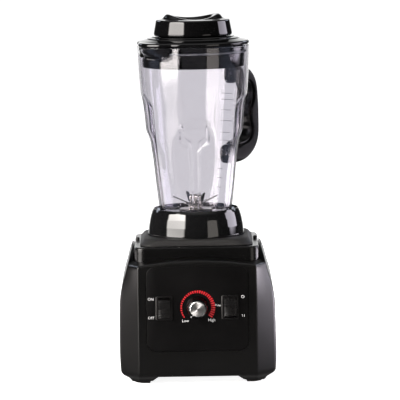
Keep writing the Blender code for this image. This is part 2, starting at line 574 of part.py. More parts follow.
grip = outline("handle_grip", lining_points(), HANDLE_W - 7.0, HANDLE_FRAME, GLOSS)
for name, z, r in BOSSES:
    a, b = DIR * (r - 4.0) + Vector((0, 0, z)), DIR * (r + 8.6) + Vector((0, 0, z))
    boolean(handle, cylinder(f"cut_boss_{name}", 5.5, a, b, helper=True, sides=16))
    a, b = DIR * (r - 4.0) + Vector((0, 0, z)), DIR * 130 + Vector((0, 0, z))
    boolean(handle, cylinder(f"cut_screw_{name}", 2.4, a, b, helper=True, sides=12))
    reach = {"upper": 100.8, "lower": 97.6}[name]
    a, b = DIR * (reach - 3.0) + Vector((0, 0, z)), DIR * 130 + Vector((0, 0, z))
    boolean(handle, cylinder(f"cut_head_{name}", 4.4, a, b, helper=True, sides=16))
    screw = turned(f"handle_screw_{name}", [(0, reach), (3.2, reach), (4.0, reach - 0.8), (4.0, reach - 2.6),
                                            (2.1, reach - 2.7), (2.1, r + 2.0), (0, r + 2.0)], 12, STEEL)
    screw.rotation_mode = "QUATERNION"
    screw.rotation_quaternion = DIR.to_track_quat("Z", "Y")
    screw.location = (0, 0, z * MM)

# collar: the glossy ring that carries the jar on the base
collar = turned("jar_collar", [
    (58.2, 232.2), (60.8, 227.4), (62.8, 221.0), (64.6, 213.0), (65.8, 204.0), (66.3, 197.0), (66.0, 192.2),
    (61.5, 192.2), (61.5, 205.0), (50.0, 222.6), (46.0, 222.6), (46.0, 223.6), (52.9, 223.6), (57.6, 229.5), (57.4, 232.2)],
    40, GLOSS, ring=True)
for k in range(4):
    a = math.radians(45 + 90 * k)
    slot = box(f"cut_collar_key_{k}", (-5.6, -4.6, -10), (5.6, 4.6, 10), helper=True)
    slot.rotation_euler = (0, 0, a)
    slot.location = (math.cos(a) * 50 * MM, math.sin(a) * 50 * MM, 190.5 * MM)
    boolean(collar, slot)

# blade unit: bearing hub through the jar's floor, seal, nut, two bearings
turned("blade_hub", [(6.2, 236.0), (9.5, 236.0), (10.5, 234.6), (10.5, 231.0), (23.0, 230.6), (23.0, 228.6), (16.2, 228.6),
                     (16.2, 209.0), (9.6, 209.0), (9.6, 227.0), (6.2, 227.0)], 24, STEEL, ring=True)
turned("hub_seal", [(16.8, 228.3), (22.6, 228.3), (22.6, 227.5), (16.8, 227.5)], 24, SILICONE, ring=True)
nut = turned("hub_nut", [(0, 223.3), (26.0, 223.3), (26.0, 216.0), (0, 216.0)], 6, STEEL)
boolean(nut, cylinder("cut_hub_nut_bore", 16.6, (0, 0, 210), (0, 0, 230), helper=True, sides=24))
for name, z0 in (("blade_bearing_upper", 219.6), ("blade_bearing_lower", 211.0)):
    turned(name, [(4.25, z0 + 6.4), (9.2, z0 + 6.4), (9.2, z0), (4.25, z0)], 18, STEEL, ring=True)
turned("blade_shaft", [(0, 245.6), (3.8, 245.6), (3.8, 204.0), (0, 204.0)], 14, STEEL)


def blade_pair(name, z, arms):
    """A strip of steel with a hole for the shaft; each arm is (azimuth, length, rise, width)."""
    half = 0.8
    hub = turned(name, [(4.25, z + half), (8.0, z + half), (8.0, z - half), (4.25, z - half)], 16, STEEL, ring=True)
    for k, (azimuth, length, rise, width) in enumerate(arms):
        slope = math.radians(rise)
        pts = [(5.5, -half), (10.5, -half), (10.5 + length * math.cos(slope), -half + length * math.sin(slope)),
               (10.5 + (length - 1) * math.cos(slope), half + length * math.sin(slope)), (10.5 - half * 0.3, half), (5.5, half)]
        a = math.radians(azimuth)
        u = Vector((math.cos(a), math.sin(a), 0))
        arm = outline(f"{name}_arm_{k}", pts, width, frame_of(u, (0, 0, 1), (0, 0, z)), helper=True)
        boolean(hub, arm, "UNION")
    return hub


blade_pair("blade_wide", 239.4, [(8, 21, 24, 9), (188, 21, 24, 9)])
blade_pair("blade_steep", 241.4, [(128, 12, 60, 8), (308, 12, 60, 8)])
blade_pair("blade_low", 237.4, [(53, 15, 12, 8), (233, 15, 12, 8)])
turned("blade_nut", [(0, 250.0), (4.0, 250.0), (6.6, 248.0), (6.6, 242.7), (4.8, 242.7), (4.8, 246.2), (0, 246.2)], 6, STEEL)
# drive socket: hangs under the jar and drops over the base's spline
socket = turned("drive_socket", [(0, 208.6), (15.0, 208.6), (15.0, 193.2), (10.7, 193.2), (10.7, 206.6), (0, 206.6)], 28, STEEL)
boolean(socket, cylinder("cut_socket_shaft", 4.25, (0, 0, 200), (0, 0, 215), helper=True, sides=16))
for k in range(6):  # six ribs inside the socket drive the spline's flutes
    a = math.radians(60 * k)
    boolean(socket, cylinder(f"socket_rib_{k}", 1.9, (11.4 * math.cos(a), 11.4 * math.sin(a), 194.0),
                             (11.4 * math.cos(a), 11.4 * math.sin(a), 207.2), helper=True, sides=10), "UNION")

# ================================================================ lid
lid = turned("lid_body", [
    (45.6, 471.4), (57.0, 471.4), (63.0, 469.2), (70.0, 466.6), (77.0, 464.6), (77.8, 463.4), (77.8, 461.6), (76.8, 460.2),
    (72.0, 460.2), (71.2, 458.0), (71.2, 451.6), (69.6, 451.6), (69.6, 448.4), (71.2, 448.4), (70.6, 429.4), (67.4, 429.4),
    (67.6, 459.0), (56.0, 462.6), (49.0, 462.6), (49.0, 446.4), (45.6, 446.4)], 40, GLOSS, ring=True)
turned("lid_gasket", [(69.9, 451.3), (73.0, 451.0), (73.3, 450.0), (73.0, 449.0), (69.9, 448.7)], 40, SILICONE, ring=True)
# thumb tab beside the handle, and the flap that closes the spout
tab = box("lid_tab", (66.0, -13.0, 460.0), (88.0, 13.0, 464.2), helper=True, round_axis=2, radius=5, segments=3)
tab.matrix_world = Matrix.Rotation(math.radians(45), 4, "Z") @ Matrix.Translation(Vector((77.0, 0, 462.1)) * MM)
boolean(lid, tab, "UNION")
flap_rows = []
for z, inside, edge, reach, half in ((463.6, 68.2, 70.6, 83.4, 0.34), (459.6, 68.2, 70.6, 82.6, 0.33),
                                     (454.0, 68.2, 70.6, 79.2, 0.27), (452.4, 73.9, 74.1, 78.2, 0.25),
                                     (446.4, 73.9, 74.1, 75.4, 0.12)):
    row = []
    for i in range(9):
        t = -1 + 2 * i / 8
        a = SPOUT_AT + t * half
        out = edge + (reach - edge) * math.cos(t * math.pi / 2)
        row.append((out * math.cos(a), out * math.sin(a), z))
    for i in range(9):
        t = 1 - 2 * i / 8
        a = SPOUT_AT + t * half * 0.98
        row.append((inside * math.cos(a), inside * math.sin(a), z))
    flap_rows.append(row)
flap = skin("lid_spout_flap", flap_rows, closed_end=True, helper=True)
boolean(lid, flap, "UNION")

# ================================================================ filler cap
def cap_ring(radius, z, wave=0.0, n=36):
    return [(radius * math.cos(2 * math.pi * i / n), radius * math.sin(2 * math.pi * i / n),
             z + wave * 0.5 * (1 + math.cos(2 * (2 * math.pi * i / n - 0.25)))) for i in range(n)]


cap_rows = [cap_ring(8.0, 491.6), cap_ring(22.0, 492.2, 0.4), cap_ring(30.0, 495.0, 4.5), cap_ring(34.5, 497.2, 7.4),
            cap_ring(38.5, 496.0, 5.0), cap_ring(44.0, 494.9, 0.8), cap_ring(49.6, 494.2), cap_ring(51.4, 492.0),
            cap_ring(54.6, 475.6), cap_ring(53.8, 473.2), cap_ring(51.4, 471.8), cap_ring(45.0, 471.8),
            cap_ring(44.0, 470.6), cap_ring(44.0, 447.0), cap_ring(41.2, 447.0), cap_ring(41.2, 486.6), cap_ring(8.0, 488.2)]
bm = bmesh.new()
rows = [[bm.verts.new(Vector(p) * MM) for p in row] for row in cap_rows]
for upper, lower in zip(rows, rows[1:]):
    for i in range(36):
        j = (i + 1) % 36
        bm.faces.new((lower[i], lower[j], upper[j], upper[i]))
bm.faces.new(rows[0])
bm.faces.new(list(reversed(rows[-1])))
smooth(from_bmesh("filler_cap", bm, GLOSS), 30)
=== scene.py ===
"""Looks of the countertop blender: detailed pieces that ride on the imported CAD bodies, materials, light and camera."""

import math

import bmesh
import bpy
import numpy as np
from mathutils import Matrix, Vector


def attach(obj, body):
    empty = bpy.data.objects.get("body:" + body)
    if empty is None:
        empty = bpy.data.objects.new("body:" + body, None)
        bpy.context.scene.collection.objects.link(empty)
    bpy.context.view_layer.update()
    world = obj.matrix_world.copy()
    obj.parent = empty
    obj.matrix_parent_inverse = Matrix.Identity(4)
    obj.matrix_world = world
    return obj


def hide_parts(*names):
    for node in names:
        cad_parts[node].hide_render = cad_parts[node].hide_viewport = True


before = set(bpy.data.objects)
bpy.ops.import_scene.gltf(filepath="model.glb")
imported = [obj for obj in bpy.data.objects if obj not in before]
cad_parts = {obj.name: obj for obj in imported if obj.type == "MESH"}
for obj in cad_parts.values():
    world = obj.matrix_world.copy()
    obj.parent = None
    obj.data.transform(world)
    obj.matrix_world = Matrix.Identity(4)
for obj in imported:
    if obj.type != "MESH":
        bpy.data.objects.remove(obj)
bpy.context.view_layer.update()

MM = 0.001
TAU = 2 * math.pi
scene = bpy.context.scene


# ======================================================================== materials
class Nodes:
    """A short way to write node trees."""

    def __init__(self, tree):
        self.tree = tree

    def add(self, kind, inputs=None, **props):
        node = self.tree.nodes.new(kind)
        for key, value in props.items():
            setattr(node, key, value)
        for key, value in (inputs or {}).items():
            if isinstance(value, bpy.types.NodeSocket):
                self.tree.links.new(value, node.inputs[key])
            else:
                node.inputs[key].default_value = value
        return node

    def link(self, a, b):
        self.tree.links.new(a, b)

    def noise(self, scale, detail=3.0, rough=0.5, vector=None, distortion=0.0):
        node = self.add("ShaderNodeTexNoise", {"Scale": scale, "Detail": detail, "Roughness": rough,
                                               "Distortion": distortion})
        if vector is not None:
            self.link(vector, node.inputs["Vector"])
        return node.outputs["Fac"]

    def ramp(self, fac, stops, interpolation="LINEAR"):
        node = self.add("ShaderNodeValToRGB", {"Fac": fac})
        ramp = node.color_ramp
        ramp.interpolation = interpolation
        while len(ramp.elements) < len(stops):
            ramp.elements.new(0.5)
        for element, (position, colour) in zip(ramp.elements, stops):
            element.position = position
            element.color = colour if len(colour) == 4 else (*colour, 1.0)
        return node.outputs["Color"]

    def math(self, operation, a, b=0.0, clamp=False):
        node = self.add("ShaderNodeMath", operation=operation, use_clamp=clamp)
        for socket, value in zip(node.inputs, (a, b)):
            if isinstance(value, bpy.types.NodeSocket):
                self.link(value, socket)
            else:
                socket.default_value = value
        return node.outputs[0]

    def remap(self, value, a, b, c, d, smooth=False):
        node = self.add("ShaderNodeMapRange", {"From Min": a, "From Max": b, "To Min": c, "To Max": d})
        node.interpolation_type = "SMOOTHSTEP" if smooth else "LINEAR"
        self.link(value, node.inputs["Value"])
        return node.outputs["Result"]


def new_material(name):
    mat = bpy.data.materials.new(name)
    mat.use_nodes = True
    n = Nodes(mat.node_tree)
    bsdf = mat.node_tree.nodes["Principled BSDF"]
    coord = n.add("ShaderNodeTexCoord").outputs["Object"]
    return mat, n, bsdf, coord


def plastic(name, dark, light, roughness, spread=0.05, grain=900.0, bump=0.02, depth=0.00004, coat=0.0,
            specular=0.5, wide=14.0, ior=1.5):
    """Moulded plastic: fine tool texture in the normal, slow wander in colour and gloss."""
    mat, n, bsdf, coord = new_material(name)
    slow = n.noise(wide, 4.0, 0.55, coord)
    fine = n.noise(grain, 2.0, 0.6, coord)
    mid = n.noise(grain * 0.23, 3.0, 0.6, coord)
    both = n.math("ADD", n.math("MULTIPLY", fine, 0.65), n.math("MULTIPLY", mid, 0.35))
    mixed = n.math("ADD", n.math("MULTIPLY", slow, 0.7), n.math("MULTIPLY", mid, 0.3))
    n.link(n.ramp(mixed, [(0.3, dark), (0.72, light)]), bsdf.inputs["Base Color"])
    n.link(n.remap(mixed, 0.3, 0.7, roughness - spread, roughness + spread), bsdf.inputs["Roughness"])
    node = n.add("ShaderNodeBump", {"Strength": bump, "Distance": depth, "Height": both})
    n.link(node.outputs["Normal"], bsdf.inputs["Normal"])
    bsdf.inputs["IOR"].default_value = ior
    bsdf.inputs["Specular IOR Level"].default_value = specular
    bsdf.inputs["Coat Weight"].default_value = coat
    bsdf.inputs["Coat Roughness"].default_value = 0.03
    return mat


def metal(name, colour, roughness, stretch=(1, 1, 1), scale=400.0, spread=0.08, bump=0.03, anisotropic=0.0):
    """Brushed or turned metal: streaks along the short axis of the stretch."""
    mat, n, bsdf, coord = new_material(name)
    mapping = n.add("ShaderNodeMapping", {"Vector": coord, "Scale": stretch})
    streak = n.noise(scale, 3.0, 0.65, mapping.outputs["Vector"])
    slow = n.noise(60.0, 3.0, 0.5, coord)
    mixed = n.math("ADD", n.math("MULTIPLY", streak, 0.7), n.math("MULTIPLY", slow, 0.3))
    low = tuple(c * 0.82 for c in colour)
    n.link(n.ramp(mixed, [(0.3, low), (0.7, colour)]), bsdf.inputs["Base Color"])
    n.link(n.remap(mixed, 0.3, 0.7, roughness - spread, roughness + spread), bsdf.inputs["Roughness"])
    bsdf.inputs["Metallic"].default_value = 1.0
    bsdf.inputs["Anisotropic"].default_value = anisotropic
    node = n.add("ShaderNodeBump", {"Strength": bump, "Distance": 0.00005, "Height": streak})
    n.link(node.outputs["Normal"], bsdf.inputs["Normal"])
    return mat


SATIN = plastic("satin_black_moulded", (0.0013, 0.0012, 0.0012), (0.0020, 0.0018, 0.0018), 0.30, 0.03, 1500.0, 0.06, 0.00005, specular=0.42)
TOPSATIN = plastic("top_plate_moulded", (0.0012, 0.0011, 0.0011), (0.0018, 0.0017, 0.0017), 0.26, 0.03, 1500.0, 0.08, 0.00004, specular=0.45)
PANEL = plastic("panel_fine_texture", (0.0009, 0.0008, 0.0009), (0.0026, 0.0023, 0.0024), 0.36, 0.06, 1100.0, 0.30, 0.0001, specular=0.2)
GLOSS = plastic("gloss_black_moulded", (0.0016, 0.0016, 0.0017), (0.0024, 0.0023, 0.0025), 0.045, 0.015, 60.0, 0.015, 0.0003)
COLLAR = plastic("gloss_black_collar", (0.0030, 0.0030, 0.0032), (0.0048, 0.0047, 0.0050), 0.06, 0.02, 60.0, 0.015, 0.0003, specular=0.85)
GRIP = plastic("grip_gloss_black", (0.0010, 0.0010, 0.0011), (0.0016, 0.0015, 0.0016), 0.13, 0.03, 200.0, 0.03, 0.0001, specular=0.3)
HANDLE = plastic("handle_satin_grey", (0.0020, 0.0019, 0.0022), (0.0030, 0.0029, 0.0033), 0.36, 0.04, 1300.0, 0.12, 0.00006, specular=0.12)
RUBBER = plastic("rubber_black", (0.0065, 0.006, 0.0058), (0.0105, 0.0098, 0.0094), 0.55, 0.06, 800.0, 0.22, 0.00008)
FOOT = plastic("foot_rubber", (0.013, 0.0125, 0.0125), (0.02, 0.019, 0.019), 0.7, 0.06, 700.0, 0.3, 0.0001)
SILICONE = plastic("silicone_clear_grey", (0.30, 0.31, 0.33), (0.36, 0.37, 0.39), 0.4, 0.05, 500.0, 0.1, 0.00006)
ROCKER = plastic("rocker_black", (0.0025, 0.0022, 0.0022), (0.004, 0.0036, 0.0036), 0.28, 0.04, 900.0, 0.1, 0.00005)
NYLON = plastic("nylon_white", (0.55, 0.54, 0.50), (0.66, 0.65, 0.61), 0.45, 0.05, 400.0, 0.1, 0.00006)
BOARD = plastic("circuit_board_green", (0.02, 0.10, 0.045), (0.035, 0.16, 0.07), 0.35, 0.08, 300.0, 0.2, 0.0001)
CARBON = plastic("carbon_block", (0.02, 0.02, 0.021), (0.035, 0.035, 0.037), 0.65, 0.08, 900.0, 0.3, 0.0001)
STEEL = metal("steel_brushed", (0.60, 0.585, 0.565), 0.22, (1, 1, 12))
BLADE = metal("blade_steel", (0.46, 0.45, 0.44), 0.2, (12, 1, 1), 300.0)
ALU = metal("aluminium_cast", (0.62, 0.62, 0.62), 0.38, (1, 1, 1), 500.0, 0.1, 0.15)
COPPER = metal("copper_wound", (0.70, 0.33, 0.16), 0.32, (1, 1, 40), 120.0, 0.1, 0.8)
IRON = metal("lamination_stack", (0.28, 0.28, 0.29), 0.45, (1, 1, 60), 80.0, 0.1, 0.8)


def print_ink(name, colour, roughness=0.4):
    """Screen-printed ink: slight speckle and uneven cover."""
    mat, n, bsdf, coord = new_material(name)
    speck = n.noise(1600.0, 2.0, 0.6, coord)
    low = tuple(c * 0.8 for c in colour)
    n.link(n.ramp(speck, [(0.35, low), (0.6, colour)]), bsdf.inputs["Base Color"])
    n.link(n.remap(speck, 0.3, 0.7, roughness - 0.05, roughness + 0.05), bsdf.inputs["Roughness"])
    return mat


WHITE_INK = print_ink("ink_white", (0.62, 0.62, 0.62))
RED_INK = print_ink("ink_red", (0.56, 0.008, 0.014), 0.35)
SCALE_INK = print_ink("ink_scale", (0.42, 0.41, 0.44), 0.5)


def turned_aluminium():
    """The dial's end face: turned, so it shines in four fans about its middle."""
    mat, n, bsdf, coord = new_material("aluminium_turned")
    sep = n.add("ShaderNodeSeparateXYZ", {"Vector": coord})
    x, y = sep.outputs["X"], sep.outputs["Y"]
    radius = n.math("SQRT", n.math("ADD", n.math("MULTIPLY", x, x), n.math("MULTIPLY", y, y)))
    angle = n.math("ARCTAN2", y, x)
    ring = n.add("ShaderNodeCombineXYZ", {"X": n.math("MULTIPLY", radius, 4200.0), "Y": n.math("MULTIPLY", angle, 0.25)})
    grooves = n.noise(1.0, 4.0, 0.6, ring.outputs["Vector"])
    n.link(n.ramp(grooves, [(0.3, (0.90, 0.89, 0.88)), (0.7, (0.99, 0.98, 0.97))]), bsdf.inputs["Base Color"])
    n.link(n.remap(grooves, 0.3, 0.7, 0.30, 0.38), bsdf.inputs["Roughness"])
    bsdf.inputs["Metallic"].default_value = 1.0
    bsdf.inputs["Anisotropic"].default_value = 0.92
    # the grooves run round the middle: the tangent is the direction round the dial's axis
    tangent = n.add("ShaderNodeTangent", direction_type="RADIAL", axis="Z")
    n.link(tangent.outputs["Tangent"], bsdf.inputs["Tangent"])
    node = n.add("ShaderNodeBump", {"Strength": 0.08, "Distance": 0.00005, "Height": grooves})
    n.link(node.outputs["Normal"], bsdf.inputs["Normal"])
    return mat


DIAL = turned_aluminium()


def clear_polycarbonate():
    """Clear moulded jar: a faint violet-grey body tint, slight waviness and fine wipe marks."""
    mat, n, bsdf, coord = new_material("polycarbonate_clear")
    wave = n.noise(9.0, 2.0, 0.4, coord)
    haze = n.noise(40.0, 5.0, 0.6, coord)
    n.link(n.ramp(haze, [(0.25, (0.808, 0.792, 0.829)), (0.75, (0.823, 0.807, 0.843))]), bsdf.inputs["Base Color"])
    n.link(n.remap(haze, 0.3, 0.75, 0.0, 0.035), bsdf.inputs["Roughness"])
    bsdf.inputs["IOR"].default_value = 1.5
    bsdf.inputs["Transmission Weight"].default_value = 1.0
    node = n.add("ShaderNodeBump", {"Strength": 0.05, "Distance": 0.001, "Height": wave})
    n.link(node.outputs["Normal"], bsdf.inputs["Normal"])
    return mat


CLEAR = clear_polycarbonate()


# ======================================================================== mesh helpers
def finish_mesh(name, verts, faces, mat, deg=38.0, merge=0.0):
    mesh = bpy.data.meshes.new(name)
    mesh.from_pydata([tuple(v) for v in verts], [], [tuple(f) for f in faces])
    if merge:
        bm = bmesh.new()
        bm.from_mesh(mesh)
        bmesh.ops.remove_doubles(bm, verts=bm.verts, dist=merge)
        bm.to_mesh(mesh)
        bm.free()
    mesh.shade_smooth()
    mesh.set_sharp_from_angle(angle=math.radians(deg))
    obj = bpy.data.objects.new(name, mesh)
    scene.collection.objects.link(obj)
    if mat:
        mesh.materials.append(mat)
    return obj


def loft(name, rings, mat, ring=False, caps=(False, False), deg=38.0, wrap=True, merge=0.0):
    """Rings of equal point count in mm, from top to bottom, each anticlockwise seen from above."""
    rings = [np.asarray(r, float) for r in rings]
    m, n = len(rings), len(rings[0])
    verts = np.concatenate(rings) * MM
    faces = []
    rows = range(m if ring else m - 1)
    cols = range(n if wrap else n - 1)
    for k in rows:
        a, b = k * n, ((k + 1) % m) * n
        for i in cols:
            j = (i + 1) % n
            faces.append((b + i, b + j, a + j, a + i))
    if caps[0]:
        faces.append(tuple(range(n)))
    if caps[1]:
        faces.append(tuple(reversed(range((m - 1) * n, m * n))))
    return finish_mesh(name, verts, faces, mat, deg, merge)


def fillet(points, seg=5, closed=False):
    """Rounds the corners of a polyline in mm: each point is (x, y) or (x, y, radius)."""
    out = []
    n = len(points)
    for i, p in enumerate(points):
        r = p[2] if len(p) > 2 else 0.0
        if r <= 0 or (not closed and i in (0, n - 1)):
            out.append((p[0], p[1]))
            continue
        a, b, c = Vector(points[i - 1][:2]), Vector(p[:2]), Vector(points[(i + 1) % n][:2])
        u, v = (a - b), (c - b)
        lu, lv = u.length, v.length
        u.normalize()
        v.normalize()
        half = math.acos(max(-1, min(1, u.dot(v)))) / 2
        if half > math.pi / 2 - 0.02:
            out.append((p[0], p[1]))
            continue
        reach = min(r / math.tan(half), 0.49 * lu, 0.49 * lv)
        rad = reach * math.tan(half)
        middle = b + (u + v).normalized() * (rad / math.sin(half))
        s, e = b + u * reach - middle, b + v * reach - middle
        turn = s.angle_signed(e)
        for k in range(seg + 1):
            q = Matrix.Rotation(-turn * k / seg, 2) @ s
            out.append((middle.x + q.x, middle.y + q.y))
    return out


def lathe(name, profile, mat, n=128, ring=True, centre=(0.0, 0.0), seg=4, deg=38.0):
    """A profile of (r, z[, fillet]) in mm, top to bottom down the outer side, about a vertical axis."""
    pts = fillet(profile, seg, ring)
    a = np.arange(n) / n * TAU
    rings = [np.stack([centre[0] + r * np.cos(a), centre[1] + r * np.sin(a), np.full(n, z)], 1) for r, z in pts]
    return loft(name, rings, mat, ring=ring, deg=deg, merge=0.0000005)


def smooth_curve(points, samples):
    """A Catmull-Rom curve through the points, sampled evenly along its length."""
    p = np.asarray(points, float)
    ext = np.vstack([2 * p[0] - p[1], p, 2 * p[-1] - p[-2]])
    dense = []
    for i in range(1, len(ext) - 2):
        p0, p1, p2, p3 = ext[i - 1:i + 3]
        for t in np.linspace(0, 1, 24, endpoint=False):
            dense.append(0.5 * ((2 * p1) + (-p0 + p2) * t + (2 * p0 - 5 * p1 + 4 * p2 - p3) * t * t
                                + (-p0 + 3 * p1 - 3 * p2 + p3) * t ** 3))
    dense.append(ext[-2])
    dense = np.array(dense)
    length = np.concatenate([[0], np.cumsum(np.linalg.norm(np.diff(dense, axis=0), axis=1))])
    want = np.linspace(0, length[-1], samples)
    return np.stack([np.interp(want, length, dense[:, k]) for k in range(dense.shape[1])], 1)


def baked(obj, deg=38.0, drop=()):
    """The object with its modifiers applied, and the helpers removed."""
    bpy.context.view_layer.update()
    graph = bpy.context.evaluated_depsgraph_get()
    mesh = bpy.data.meshes.new_from_object(obj.evaluated_get(graph))
    mats = [m for m in obj.data.materials]
    obj.modifiers.clear()
    obj.data = mesh
    mesh.materials.clear()
    for m in mats:
        mesh.materials.append(m)
    mesh.shade_smooth()
    mesh.set_sharp_from_angle(angle=math.radians(deg))
    for o in drop:
        bpy.data.objects.remove(o, do_unlink=True)
    return obj


def cut(obj, *cutters, operation="DIFFERENCE"):
    for c in cutters:
        m = obj.modifiers.new("cut", "BOOLEAN")
        m.operation = operation
        m.solver = "EXACT"
        m.object = c
    return obj


def slab(name, points, thickness, matrix, mat, bevel=0.0, seg=2, deg=38.0):
    """A flat outline in mm with a thickness, its rim edges rounded; matrix maps u, v, w to the row frame."""
    bm = bmesh.new()
    low = [bm.verts.new((u, v, -thickness / 2)) for u, v in points]
    high = [bm.verts.new((u, v, thickness / 2)) for u, v in points]
    n = len(points)
    bm.faces.new(list(reversed(low)))
    bm.faces.new(high)
    for i in range(n):
        j = (i + 1) % n
        bm.faces.new((low[i], low[j], high[j], high[i]))
    bmesh.ops.recalc_face_normals(bm, faces=bm.faces)
    if bevel:
        edges = [e for e in bm.edges if len({round(v.co.z, 5) for v in e.verts}) == 1]
        bmesh.ops.bevel(bm, geom=edges, offset=bevel, segments=seg, profile=0.5, affect="EDGES", clamp_overlap=True)
    for v in bm.verts:
        v.co *= MM
    bm.transform(matrix)
    mesh = bpy.data.meshes.new(name)
    bm.to_mesh(mesh)
    bm.free()
    mesh.shade_smooth()
    mesh.set_sharp_from_angle(angle=math.radians(deg))
    obj = bpy.data.objects.new(name, mesh)
    scene.collection.objects.link(obj)
    if mat:
        mesh.materials.append(mat)
    return obj


def axes(u, v, origin=(0, 0, 0)):
    u, v = Vector(u).normalized(), Vector(v).normalized()
    m = Matrix((u, v, u.cross(v))).transposed().to_4x4()
    m.translation = Vector(origin) * MM
    return m


def rounded_rect(x0, z0, x1, z1, r, seg=8):
    return fillet([(x0, z0, r), (x1, z0, r), (x1, z1, r), (x0, z1, r)], seg, True)


def put(obj, body, nodes=()):
    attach(obj, body)
    if nodes:
        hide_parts(*nodes)
    return obj


# the front face's frame: u to the right, v up, w out of the face
FRONT = axes((1, 0, 0), (0, 0, 1))

# ======================================================================== motor base
WALL_X = [(0, 90.6), (3, 91.9), (6, 94.2), (8, 97.2), (10.8, 102.4), (13.4, 105.2), (17, 106.5), (40, 107.5), (76, 107.3),
          (111, 106.5), (125, 104.8), (139, 101.9), (153, 97.8), (167, 94.2), (181, 90.4), (187, 88.2)]
WALL_Y = [(0, 91.0), (3, 92.2), (6, 94.4), (8, 97.4), (10.8, 102.4), (13.4, 104.8), (17, 105.9), (60, 107.0), (110, 107.0),
          (170, 105.0), (187, 104.3)]


def fine_table(rows):
    pts = smooth_curve(rows, 260)
    order = np.argsort(pts[:, 0])
    return pts[order, 0], pts[order, 1]


WX, WY = fine_table(WALL_X), fine_table(WALL_Y)
SIDE_STOPS = (0.0, 0.18, 0.36, 0.5, 0.545, 0.6, 0.66, 0.72, 0.78, 0.86, 0.93, 0.985, 1.0)


def plan(z):
    """The base's outline at height z: 8 corners rounded, extra points along the flats."""
    x, y = np.interp(z, *WX), np.interp(z, *WY)
    cx, cy = max(x - 81.0, 10.0), max(y - 81.0, 10.0)
    corners = [Vector((x - cx, -y)), Vector((x, -y + cy)), Vector((x, y - cy)), Vector((x - cx, y)),
               Vector((-x + cx, y)), Vector((-x, y - cy)), Vector((-x, -y + cy)), Vector((-x + cx, -y))]
    radii = [2.6, 9.0, 9.0, 2.6, 2.6, 9.0, 9.0, 2.6]
    out = []
    for i, c in enumerate(corners):
        p, q = corners[i - 1], corners[(i + 1) % 8]
        u, v = (p - c).normalized(), (q - c).normalized()
        half = math.acos(u.dot(v)) / 2
        reach = min(radii[i] / math.tan(half), 0.4 * (p - c).length, 0.4 * (q - c).length)
        rad = reach * math.tan(half)
        mid = c + (u + v).normalized() * (rad / math.sin(half))
        s = c + u * reach - mid
        e = c + v * reach - mid
        turn = s.angle_signed(e)
        for k in range(7):
            w = Matrix.Rotation(-turn * k / 6, 2) @ s
            out.append(mid + w)
        # towards the next corner
        nxt = corners[(i + 1) % 8]
        nn = corners[(i + 2) % 8]
        u2, v2 = (c - nxt).normalized(), (nn - nxt).normalized()
        half2 = math.acos(u2.dot(v2)) / 2
        reach2 = min(radii[(i + 1) % 8] / math.tan(half2), 0.4 * (c - nxt).length, 0.4 * (nn - nxt).length)
        a, b = c + v * reach, nxt + u2 * reach2
        long = i in (1, 3, 5, 7)
        stops = (0.012, 0.05, 0.11, 0.155, 0.2, 0.3, 0.42, 0.5, 0.58, 0.7, 0.8, 0.845, 0.89, 0.95, 0.988) if long else (
            0.05, 0.3, 0.5, 0.7, 0.95)
        for t in stops:
            out.append(a.lerp(b, t))
    return np.array([(p.x, p.y) for p in out])


def crest_height(px, py):
    front = np.clip(1 - np.abs(px) / 82.0, 0, 1) * (np.abs(py) >= np.abs(px))
    side = np.clip(1 - np.abs(py) / 84.0, 0, 1) * (np.abs(px) > np.abs(py))
    return 164.0 + 6.8 * np.sin(front * math.pi / 2) + 20.5 * np.sin(side * math.pi / 2) ** 0.85


